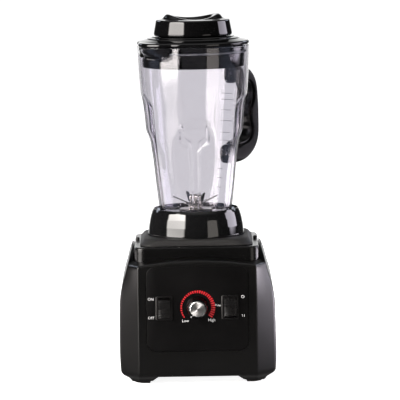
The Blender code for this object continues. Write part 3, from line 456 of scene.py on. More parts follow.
def build_housing():
    ref = plan(60)
    n = len(ref)
    crest = crest_height(ref[:, 0], ref[:, 1])

    def at(heights):
        """Points of the outline where each column has its own height."""
        out = np.zeros((n, 3))
        for i, h in enumerate(heights):
            out[i] = (*plan_cached(round(float(h), 2))[i], h)
        return out

    cache = {}

    def plan_cached(h):
        if h not in cache:
            cache[h] = plan(h)
        return cache[h]

    top = at(crest)
    # inner end of the ledge, along the raised plate
    half, rad = 86.6, 15.2
    inner = np.zeros((n, 3))
    for i, (px, py) in enumerate(ref):
        s = half / max(abs(px), abs(py))
        qx, qy = px * s, py * s
        k = half - rad
        if abs(qx) > k and abs(qy) > k:
            d = Vector((abs(qx) - k, abs(qy) - k)).normalized() * rad
            qx, qy = math.copysign(k + d.x, qx), math.copysign(k + d.y, qy)
        inner[i] = (qx, qy, min(crest[i] + 3.6, 186.2))
    rings = []
    down = inner.copy()
    down[:, 2] -= 7.0
    rings += [down, inner - [0, 0, 0.8]]
    edge = inner + (top - inner) * 0.04
    rings.append(edge)
    reach = np.linalg.norm((top - inner)[:, :2], axis=1)
    soft = np.minimum(4.2, reach * 0.55)
    start = top + (inner - top) * (soft / np.maximum(reach, 0.1))[:, None]
    rings.append(edge * 0.5 + start * 0.5)
    below = at(crest - 4.2)
    for t in np.linspace(0, 1, 7):
        rings.append((1 - t) ** 2 * start + 2 * t * (1 - t) * top + t * t * below)
    for share in (0.93, 0.8, 0.62, 0.42, 0.22, 0.06):
        rings.append(at(110 + (crest - 4.2 - 110) * share))
    for h in (108, 96, 78, 60, 40, 28, 23, 20, 17.5, 15.2, 13.2, 11.6):
        rings.append(at(np.full(n, float(h))))
    # between the legs the wall ends at 10.8, in the legs it goes on to 2.6
    along = np.where(np.abs(ref[:, 0]) > np.abs(ref[:, 1]), np.abs(ref[:, 1]), np.abs(ref[:, 0]))
    leg = np.clip((along - 56.0) / 8.0, 0, 1)
    for low in (10.2, 8.6, 7.0, 5.2, 3.4, 2.6):
        rings.append(at(np.where(leg > 0, np.maximum(low, 10.8 - 8.2 * leg), 10.8) - (0 if low > 10 else (10.2 - low) * 0.001)))
    shell = loft("base_housing", rings, SATIN, deg=32)
    m = shell.modifiers.new("wall", "SOLIDIFY")
    m.thickness = 2.8 * MM
    m.offset = -1
    m.use_even_offset = False
    recess = slab("recess", rounded_rect(-70.4, 46.1, 70.4, 163.9, 13.2), 8.0,
                  FRONT @ Matrix.Translation((0, 0, (106.95 + 2.6) * MM)), None)
    holes = [recess]
    for sx in (-1, 1):
        holes.append(slab("hole", rounded_rect(sx * 45 - 9.8, 90.9, sx * 45 + 9.8, 122.1, 0.6), 40.0,
                          FRONT @ Matrix.Translation((0, 0, 105 * MM)), None))
    disc = [(5.3 * math.cos(t), 107 + 5.3 * math.sin(t)) for t in np.linspace(0, TAU, 32, endpoint=False)]
    holes.append(slab("hole", disc, 40.0, FRONT @ Matrix.Translation((0, 0, 105 * MM)), None))
    for x, r in ((45, 8.4), (-45, 6.4)):
        disc = [(x + r * math.cos(t), 36 + r * math.sin(t)) for t in np.linspace(0, TAU, 32, endpoint=False)]
        holes.append(slab("hole", disc, 40.0, FRONT @ Matrix.Translation((0, 0, -105 * MM)), None))
    # air slots low in the rear wall
    for k in range(7):
        x = -24 + 8 * k
        holes.append(slab("hole", rounded_rect(x - 1.7, 60, x + 1.7, 98, 1.7, 4), 40.0,
                          FRONT @ Matrix.Translation((0, 0, -105 * MM)), None))
    cut(shell, *holes)
    baked(shell, 32, holes)
    return put(shell, "base", ["housing_shell"])


build_housing()
# a dark liner behind the rear air slots, so that they read as louvres over a filter
louvre = slab("rear_air_filter", rounded_rect(-33, 56, 33, 102, 3), 1.2, FRONT @ Matrix.Translation((0, 0, -101.2 * MM)),
              plastic("filter_mesh", (0.02, 0.02, 0.02), (0.05, 0.05, 0.05), 0.8, 0.05, 500.0, 1.0, 0.0005), 0.3)
put(louvre, "base")


def square_ring(half, radius, z, seg=10, along=(0.03, 0.25, 0.5, 0.75, 0.97)):
    """A rounded square in mm with extra points along its sides."""
    corner = [(half, -half), (half, half), (-half, half), (-half, -half)]
    pts = []
    for i, (cx, cy) in enumerate(corner):
        mx, my = math.copysign(half - radius, cx), math.copysign(half - radius, cy)
        start = (-math.pi / 2, 0, math.pi / 2, math.pi)[i]
        for k in range(seg + 1):
            t = start + k / seg * math.pi / 2
            pts.append((mx + radius * math.cos(t), my + radius * math.sin(t)))
        a = Vector(pts[-1])
        nx, ny = corner[(i + 1) % 4]
        nmx, nmy = math.copysign(half - radius, nx), math.copysign(half - radius, ny)
        t = start + math.pi / 2
        b = Vector((nmx + radius * math.cos(t), nmy + radius * math.sin(t)))
        for s in along:
            pts.append(tuple(a.lerp(b, s)))
    return np.array([(x, y, z) for x, y in pts])


def round_like(ring, radius, z):
    """A circle whose points lie in the directions of another ring's."""
    d = ring[:, :2] / np.linalg.norm(ring[:, :2], axis=1)[:, None]
    return np.column_stack([d * radius, np.full(len(ring), z)])


def build_top_plate():
    base = square_ring(85.5, 14, 0)
    rings = [round_like(base, 21, 184.2), round_like(base, 21, 186.6), round_like(base, 21.6, 187.0),
             square_ring(78, 9, 187.0), square_ring(82.9, 11.6, 187.0)]
    for k in range(1, 6):
        t = k / 5 * math.pi / 2
        rings.append(square_ring(82.9 + 2.6 * math.sin(t), 11.6 + 2.4 * math.sin(t), 184.4 + 2.6 * math.cos(t)))
    rings += [square_ring(85.5, 14, 180), square_ring(85.6, 14, 170), square_ring(85.7, 14, 159),
              square_ring(82.0, 11, 159), square_ring(82.0, 11, 183.4), round_like(base, 22, 183.4)]
    obj = loft("base_top_plate", rings, TOPSATIN, ring=True, deg=35)
    return put(obj, "base", ["top_plate"])


build_top_plate()


def build_pad():
    base = square_ring(76, 17, 0)
    rows = [(None, 24.0, 187.5), (None, 24.0, 191.2), (None, 24.6, 191.8), (None, 66.4, 191.8), (None, 67.4, 192.4),
            (None, 67.8, 195.4), (None, 68.4, 196.0)]
    rings = [round_like(base, r, z) for _, r, z in rows]
    for half, rad, z in ((70.2, 34, 196.0), (71.6, 30, 195.6), (72.8, 26, 194.6), (74.2, 22, 192.6), (75.2, 19.5, 190.9),
                         (75.6, 19, 190.2), (76.6, 18.4, 189.7), (77.3, 18, 189.1), (77.5, 18, 188.4), (77.3, 18, 187.6),
                         (76.0, 17, 187.3)):
        rings.append(square_ring(half, rad, z))
    obj = loft("jar_pad", rings, RUBBER, ring=True, deg=35)
    keys = []
    for k in range(4):
        a = math.radians(45 + 90 * k)
        u = Vector((math.cos(a), math.sin(a), 0))
        keys.append(slab("key", rounded_rect(-5, -4, 5, 4, 1.2, 3), 9.0,
                         axes(u, u.cross(Vector((0, 0, -1))), (50 * u.x, 50 * u.y, 194.5)), None, 0.8))
    cut(obj, *keys, operation="UNION")
    baked(obj, 35, keys)
    return put(obj, "base", ["jar_seat_pad"])


build_pad()

for name, sx in (("plug_left", -1), ("plug_right", 1)):
    obj = lathe(name, [(0, 191.6), (1.6, 191.5, 0.6), (2.6, 190.8, 0.6), (2.9, 189.6, 0.3), (2.9, 187.2), (0, 187.2)], RUBBER, 32,
                ring=False, centre=(sx * 81.8, 2.0))
    put(obj, "base", ["side_plug_left" if sx < 0 else "side_plug_right"])


def build_cover():
    pts = fillet([(-97, -77, 3), (-77, -97, 3), (77, -97, 3), (97, -77, 3), (97, 77, 3), (77, 97, 3), (-77, 97, 3), (-97, 77, 3)],
                 4, True)
    obj = slab("base_bottom_cover", pts, 2.8, Matrix.Translation((0, 0, 16.2 * MM)), SATIN, 0.6)
    holes = []
    for k in range(5):
        y = -24 + 12 * k
        holes.append(slab("vent", rounded_rect(-30, y - 2.5, 30, y + 2.5, 2.5, 5), 12, Matrix.Translation((0, 0, 16.2 * MM)), None))
    cut(obj, *holes)
    baked(obj, 35, holes)
    put(obj, "base", ["bottom_cover"])
    # two stiffening rib frames moulded on the cover, one either side of the vents
    for k, (x0, y0, x1, y1) in enumerate(((-70, -36, -40, 36), (40, -36, 70, 36))):
        outer = rounded_rect(x0, y0, x1, y1, 3, 4)
        rib = slab(f"cover_frame_{k}", outer, 1.6, Matrix.Translation((0, 0, 14.3 * MM)), SATIN, 0.4)
        inner = slab("inner", rounded_rect(x0 + 2, y0 + 2, x1 - 2, y1 - 2, 2, 4), 6, Matrix.Translation((0, 0, 14.3 * MM)), None)
        cut(rib, inner)
        baked(rib, 35, [inner])
        put(rib, "base")


build_cover()

for name, sx, sy in (("foot_front_left", -1, -1), ("foot_front_right", 1, -1), ("foot_rear_left", -1, 1),
                     ("foot_rear_right", 1, 1)):
    pts = fillet([(66, 66, 2.0), (86.4, 66, 2.0), (86.4, 77, 2.0), (77, 86.4, 2.0), (66, 86.4, 2.0)], 4, True)
    pts = [(sx * u, sy * v) for u, v in pts]
    if sx * sy < 0:
        pts = pts[::-1]
    obj = slab(name + "_pad", pts, 12.4, Matrix.Translation((0, 0, 6.2 * MM)), FOOT, 0.9, 2)
    hole = lathe("hole", [(0, 3.0), (4.2, 3.0), (4.2, -4.0), (0, -4.0)], None, 28, ring=False, centre=(sx * 76, sy * 76))
    cut(obj, hole)
    baked(obj, 35, [hole])
    put(obj, "base", [name])
    screw = lathe(name + "_screw", [(0, 2.6), (3.4, 2.6, 0.2), (3.4, 1.6, 0.5), (2.0, 1.1), (0.9, 1.1), (0.9, 2.0), (0, 2.0)],
                  STEEL, 24, ring=False, centre=(sx * 76, sy * 76))
    put(screw, "base")

# ======================================================================== control panel
FACE = 106.9


def build_panel():
    outer = rounded_rect(-69.5, 47.0, 69.5, 163.0, 12.5, 12)
    plate = slab("control_panel_plate", outer, 1.2, FRONT @ Matrix.Translation((0, 0, (FACE - 0.6) * MM)), PANEL, 0.35, 3)
    holes = []
    for sx in (-1, 1):
        holes.append(slab("hole", rounded_rect(sx * 45 - 9.8, 90.9, sx * 45 + 9.8, 122.1, 0.6), 20.0,
                          FRONT @ Matrix.Translation((0, 0, 105 * MM)), None))
    disc = [(5.3 * math.cos(t), 107 + 5.3 * math.sin(t)) for t in np.linspace(0, TAU, 32, endpoint=False)]
    holes.append(slab("hole", disc, 20.0, FRONT @ Matrix.Translation((0, 0, 105 * MM)), None))
    cut(plate, *holes)
    baked(plate, 35, holes)
    return put(plate, "base", ["control_panel"])


build_panel()

# speed scale: thin radial ticks that grow from low to high
def build_scale():
    verts, faces = [], []
    count = 31
    for k in range(count):
        t = k / (count - 1)
        a = math.radians(214 - 248 * t)
        outer, depth = 23.6 + 0.3 * t, 1.7 + 4.3 * t ** 1.15
        wide = math.radians(248) / (count - 1) * 0.29
        b = len(verts)
        for r, s in ((outer - depth, -1), (outer, -1), (outer, 1), (outer - depth, 1)):
            w = a + s * wide
            x, z = 0.5 + r * math.cos(w), 106.6 + r * math.sin(w)
            verts.append((x * MM, -(FACE + 0.02) * MM, z * MM))
            verts.append((x * MM, -(FACE + 0.10) * MM, z * MM))
        q = [b, b + 2, b + 4, b + 6]
        f = [b + 1, b + 3, b + 5, b + 7]
        faces.append(tuple(f))
        faces.append(tuple(reversed(q)))
        for i in range(4):
            j = (i + 1) % 4
            faces.append((q[i], q[j], f[j], f[i]))
    obj = finish_mesh("speed_scale_ticks", verts, faces, RED_INK, 30)
    bm = bmesh.new()
    bm.from_mesh(obj.data)
    bmesh.ops.recalc_face_normals(bm, faces=bm.faces)
    bm.to_mesh(obj.data)
    bm.free()
    return put(obj, "base")


build_scale()


def label(name, text, x, z, size, mat=WHITE_INK, y=-FACE - 0.02, thick=0.05, turn=0.0, body="base"):
    curve = bpy.data.curves.new(name, "FONT")
    curve.body = text
    curve.size = size * MM
    curve.align_x, curve.align_y = "CENTER", "CENTER"
    curve.extrude = thick * MM
    curve.resolution_u = 4
    temp = bpy.data.objects.new(name + "_text", curve)
    scene.collection.objects.link(temp)
    temp.matrix_world = Matrix.Translation(Vector((x, y, z)) * MM) @ axes((1, 0, 0), (0, 0, 1)) @ Matrix.Rotation(turn, 4, "Z")
    bpy.context.view_layer.update()
    graph = bpy.context.evaluated_depsgraph_get()
    mesh = bpy.data.meshes.new_from_object(temp.evaluated_get(graph))
    mesh.transform(temp.matrix_world)
    bm = bmesh.new()
    bm.from_mesh(mesh)
    bmesh.ops.remove_doubles(bm, verts=bm.verts, dist=0.000001)
    bmesh.ops.recalc_face_normals(bm, faces=bm.faces)
    bm.to_mesh(mesh)
    bm.free()
    bpy.data.objects.remove(temp, do_unlink=True)
    obj = bpy.data.objects.new(name, mesh)
    scene.collection.objects.link(obj)
    mesh.materials.clear()
    mesh.materials.append(mat)
    return put(obj, body)


label("label_on", "ON", -63.6, 119.0, 5.2)
label("label_off", "OFF", -63.4, 93.2, 5.0)
label("label_low", "Low", -16.6, 88.6, 5.3)
label("label_high", "High", 19.4, 89.2, 5.3)
label("label_pulse", "Pulse", 28.3, 109.4, 3.9)
label("label_zero", "O", 62.2, 120.6, 5.8)
label("label_two", "I I", 62.6, 94.6, 5.0)


def build_switch(side, sx, tilt, kind):
    cx, cz = sx * 45.0, 106.5
    # frame on the panel with a rounded lip, and a pocket
    flange = slab(f"{side}_switch_frame", rounded_rect(cx - 11.0, cz - 16.6, cx + 11.0, cz + 16.6, 1.8, 5), 1.7,
                  FRONT @ Matrix.Translation((0, 0, (107.25 + 0.85) * MM)), ROCKER, 0.55, 3)
    neck = slab("neck", rounded_rect(cx - 9.4, cz - 15.2, cx + 9.4, cz + 15.2, 0.8, 3), 23.5,
                FRONT @ Matrix.Translation((0, 0, (84.0 + 11.75) * MM)), None)
    pocket = slab("pocket", rounded_rect(cx - 8.4, cz - 14.2, cx + 8.4, cz + 14.2, 0.7, 3), 20,
                  FRONT @ Matrix.Translation((0, 0, (93.0 + 10) * MM)), None)
    cut(flange, neck, operation="UNION")
    cut(flange, pocket)
    baked(flange, 32, [neck, pocket])
    put(flange, "base", [f"{side}_switch_body"])
    # the key: two shallow wings with cross ridges
    face = []
    zs = np.linspace(-12.7, 12.7, 64)
    for z in zs:
        wing = 5.75 + 2.5 * (abs(z) / 12.7) ** 1.5
        ridge = 0.0
        if kind == "ridged" and 2.2 < abs(z) < 11.6:
            ridge = 0.34 * max(0.0, math.cos((abs(z) - 2.4) / 2.3 * TAU)) ** 0.6
        if kind == "scooped":
            wing += 0.5 * math.cos(z / 12.7 * math.pi) * (z < 0)
            if 3.0 < z < 11.0:
                ridge = 0.22 * max(0.0, math.cos((z - 3.2) / 2.6 * TAU)) ** 0.6
        face.append((-(wing + ridge), z))
    outline = [(-7.4, -13.0)] + face + [(-7.4, 13.0), (-5.0, 13.1)]
    outline += [(8.0 * math.sin(t), 12.9 * math.cos(t)) for t in np.radians([22, 40, 60, 80, 100, 120, 140, 158])]
    outline += [(-5.0, -13.1)]
    c, s = math.cos(math.radians(tilt)), math.sin(math.radians(tilt))
    outline = [(y * c - z * s, y * s + z * c) for y, z in outline]
    key = slab(f"{side}_key", outline, 16.0, axes((0, 1, 0), (0, 0, 1), (cx, -103.5, cz)), ROCKER, 0.5, 2)
    put(key, f"{side}_key", [f"{side}_rocker"])


build_switch("power", -1, 7.0, "ridged")
build_switch("pulse", 1, -7.0, "scooped")

# painted highlight: thin raised grey strips on the panel, at the left edge of each switch bezel, stand for the light
# that edge catches
for side, x in (("power", -56.6), ("pulse", 33.4)):
    # the grey ink of these strips is a painted highlight, not print
    bar = slab(f"{side}_bezel_painted_highlight", rounded_rect(x - 0.35, 90.4, x + 0.35, 122.2, 0.3, 2), 0.5,
               FRONT @ Matrix.Translation((0, 0, (FACE + 0.15) * MM)), print_ink(f"painted_highlight_line_{side}", (0.10, 0.095, 0.09), 0.35), 0.12)
    put(bar, "base")


def about_dial(name, profile, mat, n=96, ring=False, seg=4, deg=35):
    """Turned about the dial's axis: (radius, distance in front of the spin axis[, fillet]), front first."""
    obj = lathe(name, profile, mat, n, ring=ring, seg=seg, deg=deg)
    obj.data.transform(Matrix.Translation((0, 0, 107 * MM)) @ Matrix.Rotation(math.radians(90), 4, "X"))
    return obj


def build_dial():
    knob = about_dial("dial_body", [(0, 124.6), (10.9, 124.6), (10.9, 125.9), (11.6, 126.3, 0.3), (12.7, 125.9, 0.9),
                                    (13.4, 123.0, 1.0), (14.2, 113.6, 0.8), (15.7, 111.4, 0.9), (15.9, 108.6, 0.3),
                                    (15.2, 108.2), (5.8, 108.2), (5.8, 110.6), (0, 110.6)], GRIP)
    put(knob, "speed_dial", ["speed_knob"])
    # finger ribs round the skirt
    ribs = []
    verts, faces = [], []
    for k in range(36):
        a = TAU * k / 36
        for sign in (-1, 1):
            pass
        c, s = math.cos(a), math.sin(a)
        b = len(verts)
        for y, r in ((122.6, 13.25), (114.4, 13.95)):
            for off, extra in ((-0.32, 0.0), (0.0, 0.42), (0.32, 0.0)):
                x, z = (r + extra) * c - off * s, (r + extra) * s + off * c
                verts.append((x * MM, -y * MM, (107 + z) * MM))
        faces += [(b, b + 1, b + 4, b + 3), (b + 1, b + 2, b + 5, b + 4), (b, b + 2, b + 1), (b + 3, b + 4, b + 5),
                  (b + 2, b, b + 3, b + 5)]
    rib = finish_mesh("dial_ribs", verts, faces, GRIP, 30)
    bm = bmesh.new()
    bm.from_mesh(rib.data)
    bmesh.ops.recalc_face_normals(bm, faces=bm.faces)
    bm.to_mesh(rib.data)
    bm.free()
    put(rib, "speed_dial")
    cap = lathe("dial_inlay", [(0, 1.75), (9.6, 1.75, 0.25), (10.5, 1.1, 0.35), (10.6, 0.0), (0, 0.0)], DIAL, 128, ring=False, deg=30)
    cap.matrix_world = Matrix.Translation((0, -124.9 * MM, 107 * MM)) @ Matrix.Rotation(math.radians(90), 4, "X")
    put(cap, "speed_dial", ["knob_inlay"])
    # the pointer: a white line on the flange, towards low
    a = math.radians(232)
    u = Vector((math.cos(a), 0, math.sin(a)))
    pts = rounded_rect(10.9, -0.45, 15.2, 0.45, 0.3, 2)
    pointer = slab("dial_pointer", pts, 0.5, axes(u, Vector((0, -1, 0)).cross(u)) , WHITE_INK, 0.1)
    # lay it on the sloping rim
    pointer.data.transform(Matrix.Translation((0, -125.9 * MM, 107 * MM)))
    shear = Matrix.Identity(4)
    for v in pointer.data.vertices:
        d = math.hypot(v.co.x, v.co.z - 107 * MM) / MM
        v.co.y += max(0.0, d - 12.4) * 1.4 * MM
    put(pointer, "speed_dial")


build_dial()

# ======================================================================== rear hardware
def about_rear(name, profile, x, z, mat, n=64, ring=False, seg=3, deg=35):
    """Turned about a horizontal axis through the rear wall: (radius, y[, fillet]), tip first."""
    obj = lathe(name, profile, mat, n, ring=ring, seg=seg, deg=deg)
    obj.data.transform(Matrix.Translation((x * MM, 0, z * MM)) @ Matrix.Rotation(math.radians(-90), 4, "X"))
    return obj


gland = about_rear("cord_gland_ribbed", [(5.2, 126.9, 0.5), (7.4, 126.9, 0.6), (8.4, 124.4, 0.3), (7.8, 124.0, 0.3), (8.0, 122.6, 0.3),
                                         (9.3, 122.2, 0.3), (9.4, 120.4, 0.3), (8.4, 120.0, 0.3), (8.4, 118.6, 0.3),
                                         (9.6, 118.2, 0.3), (9.8, 116.6, 0.3), (11.2, 116.0, 0.6), (11.5, 107.5), (8.0, 107.5),
                                         (8.0, 98.6), (5.2, 98.6)], 45, 36, RUBBER, ring=True)
put(gland, "base", ["cord_gland"])
lip = about_rear("breaker_ring", [(5.6, 109.3, 0.3), (8.5, 109.3, 0.5), (8.6, 107.4, 0.2), (6.1, 107.3), (6.1, 102.7), (11.9, 102.6, 0.4),
                                  (12.0, 82.0, 0.4), (4.6, 82.0), (4.6, 96.0), (5.6, 96.0)], -45, 36, ROCKER, ring=True)
put(lip, "base", ["breaker_body"])
button = about_rear("reset_button_cap", [(0, 113.1), (2.2, 113.5, 0.4), (3.4, 113.2, 0.6), (3.9, 112.2, 0.4), (3.9, 104.0), (5.2, 104.0),
                                         (5.2, 101.0), (3.9, 101.0), (3.9, 90.0), (0, 90.0)], -45, 36, NYLON)
put(button, "reset_key", ["reset_button"])

# ======================================================================== drive and motor: what shows, and what doesn't
def build_spline():
    n = 96
    rings = []

    def ring_at(r, z, flute=0.0):
        a = np.arange(n) / n * TAU
        rr = r - flute * np.clip(np.cos(6 * a), 0, 1) ** 0.7
        return np.stack([rr * np.cos(a), rr * np.sin(a), np.full(n, z)], 1)

    rings += [ring_at(4.3, 205.6), ring_at(4.8, 206.0), ring_at(7.6, 206.0, 1.6), ring_at(8.4, 205.7, 1.8), ring_at(9.9, 203.8, 2.3),
              ring_at(10.0, 203.2, 2.4), ring_at(10.0, 194.0, 2.4), ring_at(10.0, 192.7, 1.2), ring_at(13.4, 192.6),
              ring_at(14.0, 192.0), ring_at(14.0, 186.3), ring_at(13.7, 185.9), ring_at(11.0, 184.0), ring_at(11.0, 178.2),
              ring_at(10.7, 178.0), ring_at(4.3, 178.0)]
    obj = loft("drive_spline_head", rings, STEEL, ring=True, deg=30)
    put(obj, "rotor", ["drive_spline"])


build_spline()

for node, mat in (("motor_shaft", STEEL), ("rotor_core", COPPER), ("commutator", COPPER), ("cooling_fan", NYLON), ("motor_stator", IRON),
                  ("field_winding", COPPER), ("motor_top_bracket", ALU), ("motor_lower_bracket", ALU), ("motor_bearing_upper", STEEL),
                  ("motor_bearing_lower", STEEL), ("motor_post_left", STEEL), ("motor_post_right", STEEL),
                  ("carbon_brush_left", CARBON), ("carbon_brush_right", CARBON), ("control_board", BOARD), ("triac_heat_sink", ALU),
                  ("speed_potentiometer", SATIN), ("speed_shaft", STEEL), ("hub_seal", SILICONE), ("blade_bearing_upper", STEEL),
                  ("blade_bearing_lower", STEEL), ("blade_shaft", STEEL), ("drive_socket", STEEL), ("hub_nut", STEEL),
                  ("handle_screw_upper", STEEL), ("handle_screw_lower", STEEL), ("lid_gasket", SILICONE)):
    node_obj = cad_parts[node]
    node_obj.data.materials.clear()
    node_obj.data.materials.append(mat)

# ======================================================================== jar
CONE = [(224, 50.5), (228, 52.3), (232, 53.2), (237, 54.6), (250, 57.0), (268, 60.6), (303, 65.2), (324, 67.4), (345, 69.2), (360, 70.4),
        (373, 71.8), (388, 73.6), (397, 74.5), (410, 75.5), (424, 76.3), (459, 77.8)]
FLAT = [(224, 49.0), (232, 50.3), (240, 51.2), (262, 53.6), (302, 57.3), (322, 60.3), (328, 61.2), (334, 63.4), (340, 66.4), (345, 68.6),
        (350, 71.5), (360, 76.0), (459, 110.0)]
VALLEY_FRONT = [(224, 47.9), (245, 50.5), (275, 53.7), (302, 56.0), (314, 57.4), (322, 57.9), (328, 58.7), (334, 60.2), (340, 62.9), (345, 65.2),
                (348, 66.6), (351, 72.0), (354, 82.0), (459, 140.0)]
HALF_FRONT = [(224, 5.2), (300, 5.6), (314, 6.0), (318.0, 7.4), (325.0, 17.6), (327, 19.0), (334, 19.5), (345, 19.7), (352, 19.5), (459, 16.0)]
VALLEY = [(224, 46.2), (245, 47.6), (275, 51.0), (302, 53.9), (325, 56.3), (343, 57.6), (368, 59.7), (374.5, 60.9), (377, 62.0),
          (387, 70.4), (391, 74.4), (394, 79.0), (459, 140.0)]
HALF = [(224, 12.5), (300, 14.5), (330, 15.8), (341, 16.6), (356, 18.4), (362, 19.0), (378, 18.9), (386, 17.6),
        (391, 15.8), (394, 14.0), (459, 14.0)]
POUR = [(224, 0.0), (442, 0.0), (445, 1.4), (448, 4.2), (452, 7.6), (456, 10.0), (459, 11.0)]
SPOUT = math.radians(221)
SPOUT_HALF = 0.5


def rounded_table(rows, reach=2):
    """The table with its bends eased over reach half millimetres."""
    rows = np.array(rows, float)
    zs = np.arange(rows[0, 0], rows[-1, 0] + 0.01, 0.5)
    vs = np.interp(zs, rows[:, 0], rows[:, 1])
    kernel = np.hanning(2 * reach + 3)[1:-1]
    kernel /= kernel.sum()
    padded = np.concatenate([np.full(reach, vs[0]), vs, np.full(reach, vs[-1])])
    return zs, np.convolve(padded, kernel, "valid")


T_CONE, T_FLAT, T_VALLEY, T_HALF, T_POUR, T_VALLEY_F, T_HALF_F = (
    rounded_table(t, 24 if t is CONE else 2) for t in (CONE, FLAT, VALLEY, HALF, POUR, VALLEY_FRONT, HALF_FRONT))


def body_radius(a, z, inset=0.0, sharp=1.1):
    """The jar without its flutes: a cone cut by four flats, the edges between them eased."""
    r = np.interp(z, *T_CONE) - inset
    off = (a + math.pi / 4) % (math.pi / 2) - math.pi / 4
    flat = (np.interp(z, *T_FLAT) - inset) / math.cos(off)
    gap = flat - r
    if gap > 14:
        return r
    return -sharp * math.log(math.exp(-r / sharp + 30) + math.exp(-flat / sharp + 30)) + 30 * sharp if abs(gap) < 14 else min(r, flat)


IN_STOPS = (0.0, 0.25, 0.48, 0.56, 0.64, 0.72, 0.79, 0.835, 0.87, 0.91, 0.95, 1.0)
OUT_STOPS = (0.03, 0.07, 0.12, 0.18, 0.26, 0.34, 0.42, 0.5, 0.58, 0.66, 0.74, 0.82, 0.91)


def jar_ring(z, inset=0.0, lift=None):
    """One ring of the jar: its columns follow the walls of the four flutes."""
    pts = []
    for k in range(4):
        mid = k * math.pi / 2
        valley = np.interp(z, *(T_VALLEY_F if k % 2 else T_VALLEY)) - inset
        half = np.interp(z, *(T_HALF_F if k % 2 else T_HALF)) + inset * 0.75
        edge_r = body_radius(0.0, z, inset)
        # where the flute's edge meets the body
        angle = math.asin(min(0.9, half / edge_r))
        edge_r = body_radius(angle, z, inset)
        angle = math.asin(min(0.9, half / edge_r))
        right, left = [], []
        for u in IN_STOPS:
            y = half * u
            a = angle * u
            surf = body_radius(a, z, inset) * math.cos(a)
            start = 0.5 + 0.3 * np.interp(z, (317, 330), (0, 1)) * (k % 2)
            s = np.clip((u - start) / (1 - start), 0, 1)
            s = s * s * (3 - 2 * s)
            x = min(valley, surf) + (surf - min(valley, surf)) * s
            right.append((x, y))
        for t in OUT_STOPS:
            a = angle + (math.pi / 4 - angle) * t
            r = body_radius(a, z, inset)
            right.append((r * math.cos(a), r * math.sin(a)))
        for x, y in reversed(right[1:]):
            left.append((x, -y))
        sector = left + right
        r = body_radius(math.pi / 4, z, inset)
        sector.append((r * math.cos(math.pi / 4), r * math.sin(math.pi / 4)))
        c, s = math.cos(mid), math.sin(mid)
        pts += [(x * c - y * s, x * s + y * c) for x, y in sector]
    out = []
    pour = np.interp(z, *T_POUR)
    for x, y in pts:
        if pour > 0:
            a, r = math.atan2(y, x), math.hypot(x, y)
            turn = (a - SPOUT + math.pi) % TAU - math.pi
            if abs(turn) < SPOUT_HALF:
                r += pour * math.cos(turn / SPOUT_HALF * math.pi / 2) ** 1.6
            x, y = r * math.cos(a), r * math.sin(a)
        out.append((x, y, z if lift is None else lift))
    return np.array(out)


def build_jar():
    zs = [459.0, 457.4, 455.6, 453.6, 451.6, 449.8, 448, 446.4, 445, 443.6, 442, 439, 434, 427, 420, 412, 404, 398, 395, 393, 391.5, 390, 388.5, 387, 385, 383, 381, 379,
          377.5, 376, 375, 374, 372, 369, 365, 363, 361.5, 360, 358.5, 357, 355.5, 354, 352, 350, 348.5, 347, 346, 344.5, 343, 341.5, 340, 338,
          336, 334, 332, 330, 328.5, 327, 326, 325, 323.5, 322, 320.5, 319, 318, 316.5, 314, 310, 304, 295, 285, 275, 265, 256, 248, 242, 238, 235, 232.6]
    outer = [jar_ring(z) for z in zs]
    # rim: rounded over
    rim = jar_ring(459.0, 1.65)
    rim_mid = rim.copy()
    outer_top, inner_top = jar_ring(459.0, 0.0), jar_ring(459.0, 3.3)
    lip = []
    for t in np.linspace(0, math.pi, 9)[1:-1]:
        w = 0.5 - 0.5 * math.cos(t)
        ring = inner_top * (1 - w) + outer_top * w
        ring[:, 2] = 458.0 + 1.0 * math.sin(t)
        lip.append(ring)
    outer[0][:, 2] = 457.9
    rings = list(lip) + outer
    rings += [jar_ring(230, 0.1), jar_ring(228, 0.3), jar_ring(226.3, 1.0), jar_ring(225, 2.2), jar_ring(224.3, 3.8), jar_ring(224.0, 6.0)]
    base = rings[-1]
    rings += [round_like(base, 36, 224.0), round_like(base, 24.5, 224.0), round_like(base, 17.3, 224.0), round_like(base, 17.0, 224.3),
              round_like(base, 17.0, 227.0), round_like(base, 17.3, 227.3), round_like(base, 24, 227.3), round_like(base, 34, 227.3)]
    wall = 3.3
    rings += [jar_ring(229, 9.0, 227.4), jar_ring(230, 6.6, 227.8), jar_ring(231.5, 4.9, 229.0), jar_ring(233.5, 3.9, 231.2), jar_ring(236, wall + 0.1)]
    inner = [jar_ring(z, wall) for z in reversed(zs) if z > 236.5]
    inner[-1][:, 2] = 457.9
    rings += inner
    jar = loft("jar_vessel", rings, CLEAR, ring=True, deg=70)
    # bosses that take the handle's screws
    u = Vector((math.cos(math.pi / 4), math.sin(math.pi / 4), 0))
    bosses = []
    for z, r in ((414.0, 74.2), (303.0, 64.6)):
        disc = [(5.0 * math.cos(t), 5.0 * math.sin(t)) for t in np.linspace(0, TAU, 40, endpoint=False)]
        centre = u * (r + 3.4)
        b = slab("boss", disc, 9.0, axes(u.cross(Vector((0, 0, 1))) * -1, (0, 0, 1), (centre.x, centre.y, z)), None, 0.5)
        bosses.append(b)
    cut(jar, *bosses, operation="UNION")
    pilots = []
    for z, r in ((414.0, 74.2), (303.0, 64.6)):
        disc = [(2.3 * math.cos(t), 2.3 * math.sin(t)) for t in np.linspace(0, TAU, 24, endpoint=False)]
        centre = u * (r + 6.5)
        pilots.append(slab("pilot", disc, 10.0, axes(u.cross(Vector((0, 0, 1))) * -1, (0, 0, 1), (centre.x, centre.y, z)), None))
    cut(jar, *pilots)
    baked(jar, 70, bosses + pilots)
    put(jar, "jar", ["jar_body"])


build_jar()


def on_wall(a, z, outward=0.0):
    """A point on the jar's outer face."""
    r = body_radius(a, z) + outward
    return Vector((r * math.cos(a), r * math.sin(a), z))


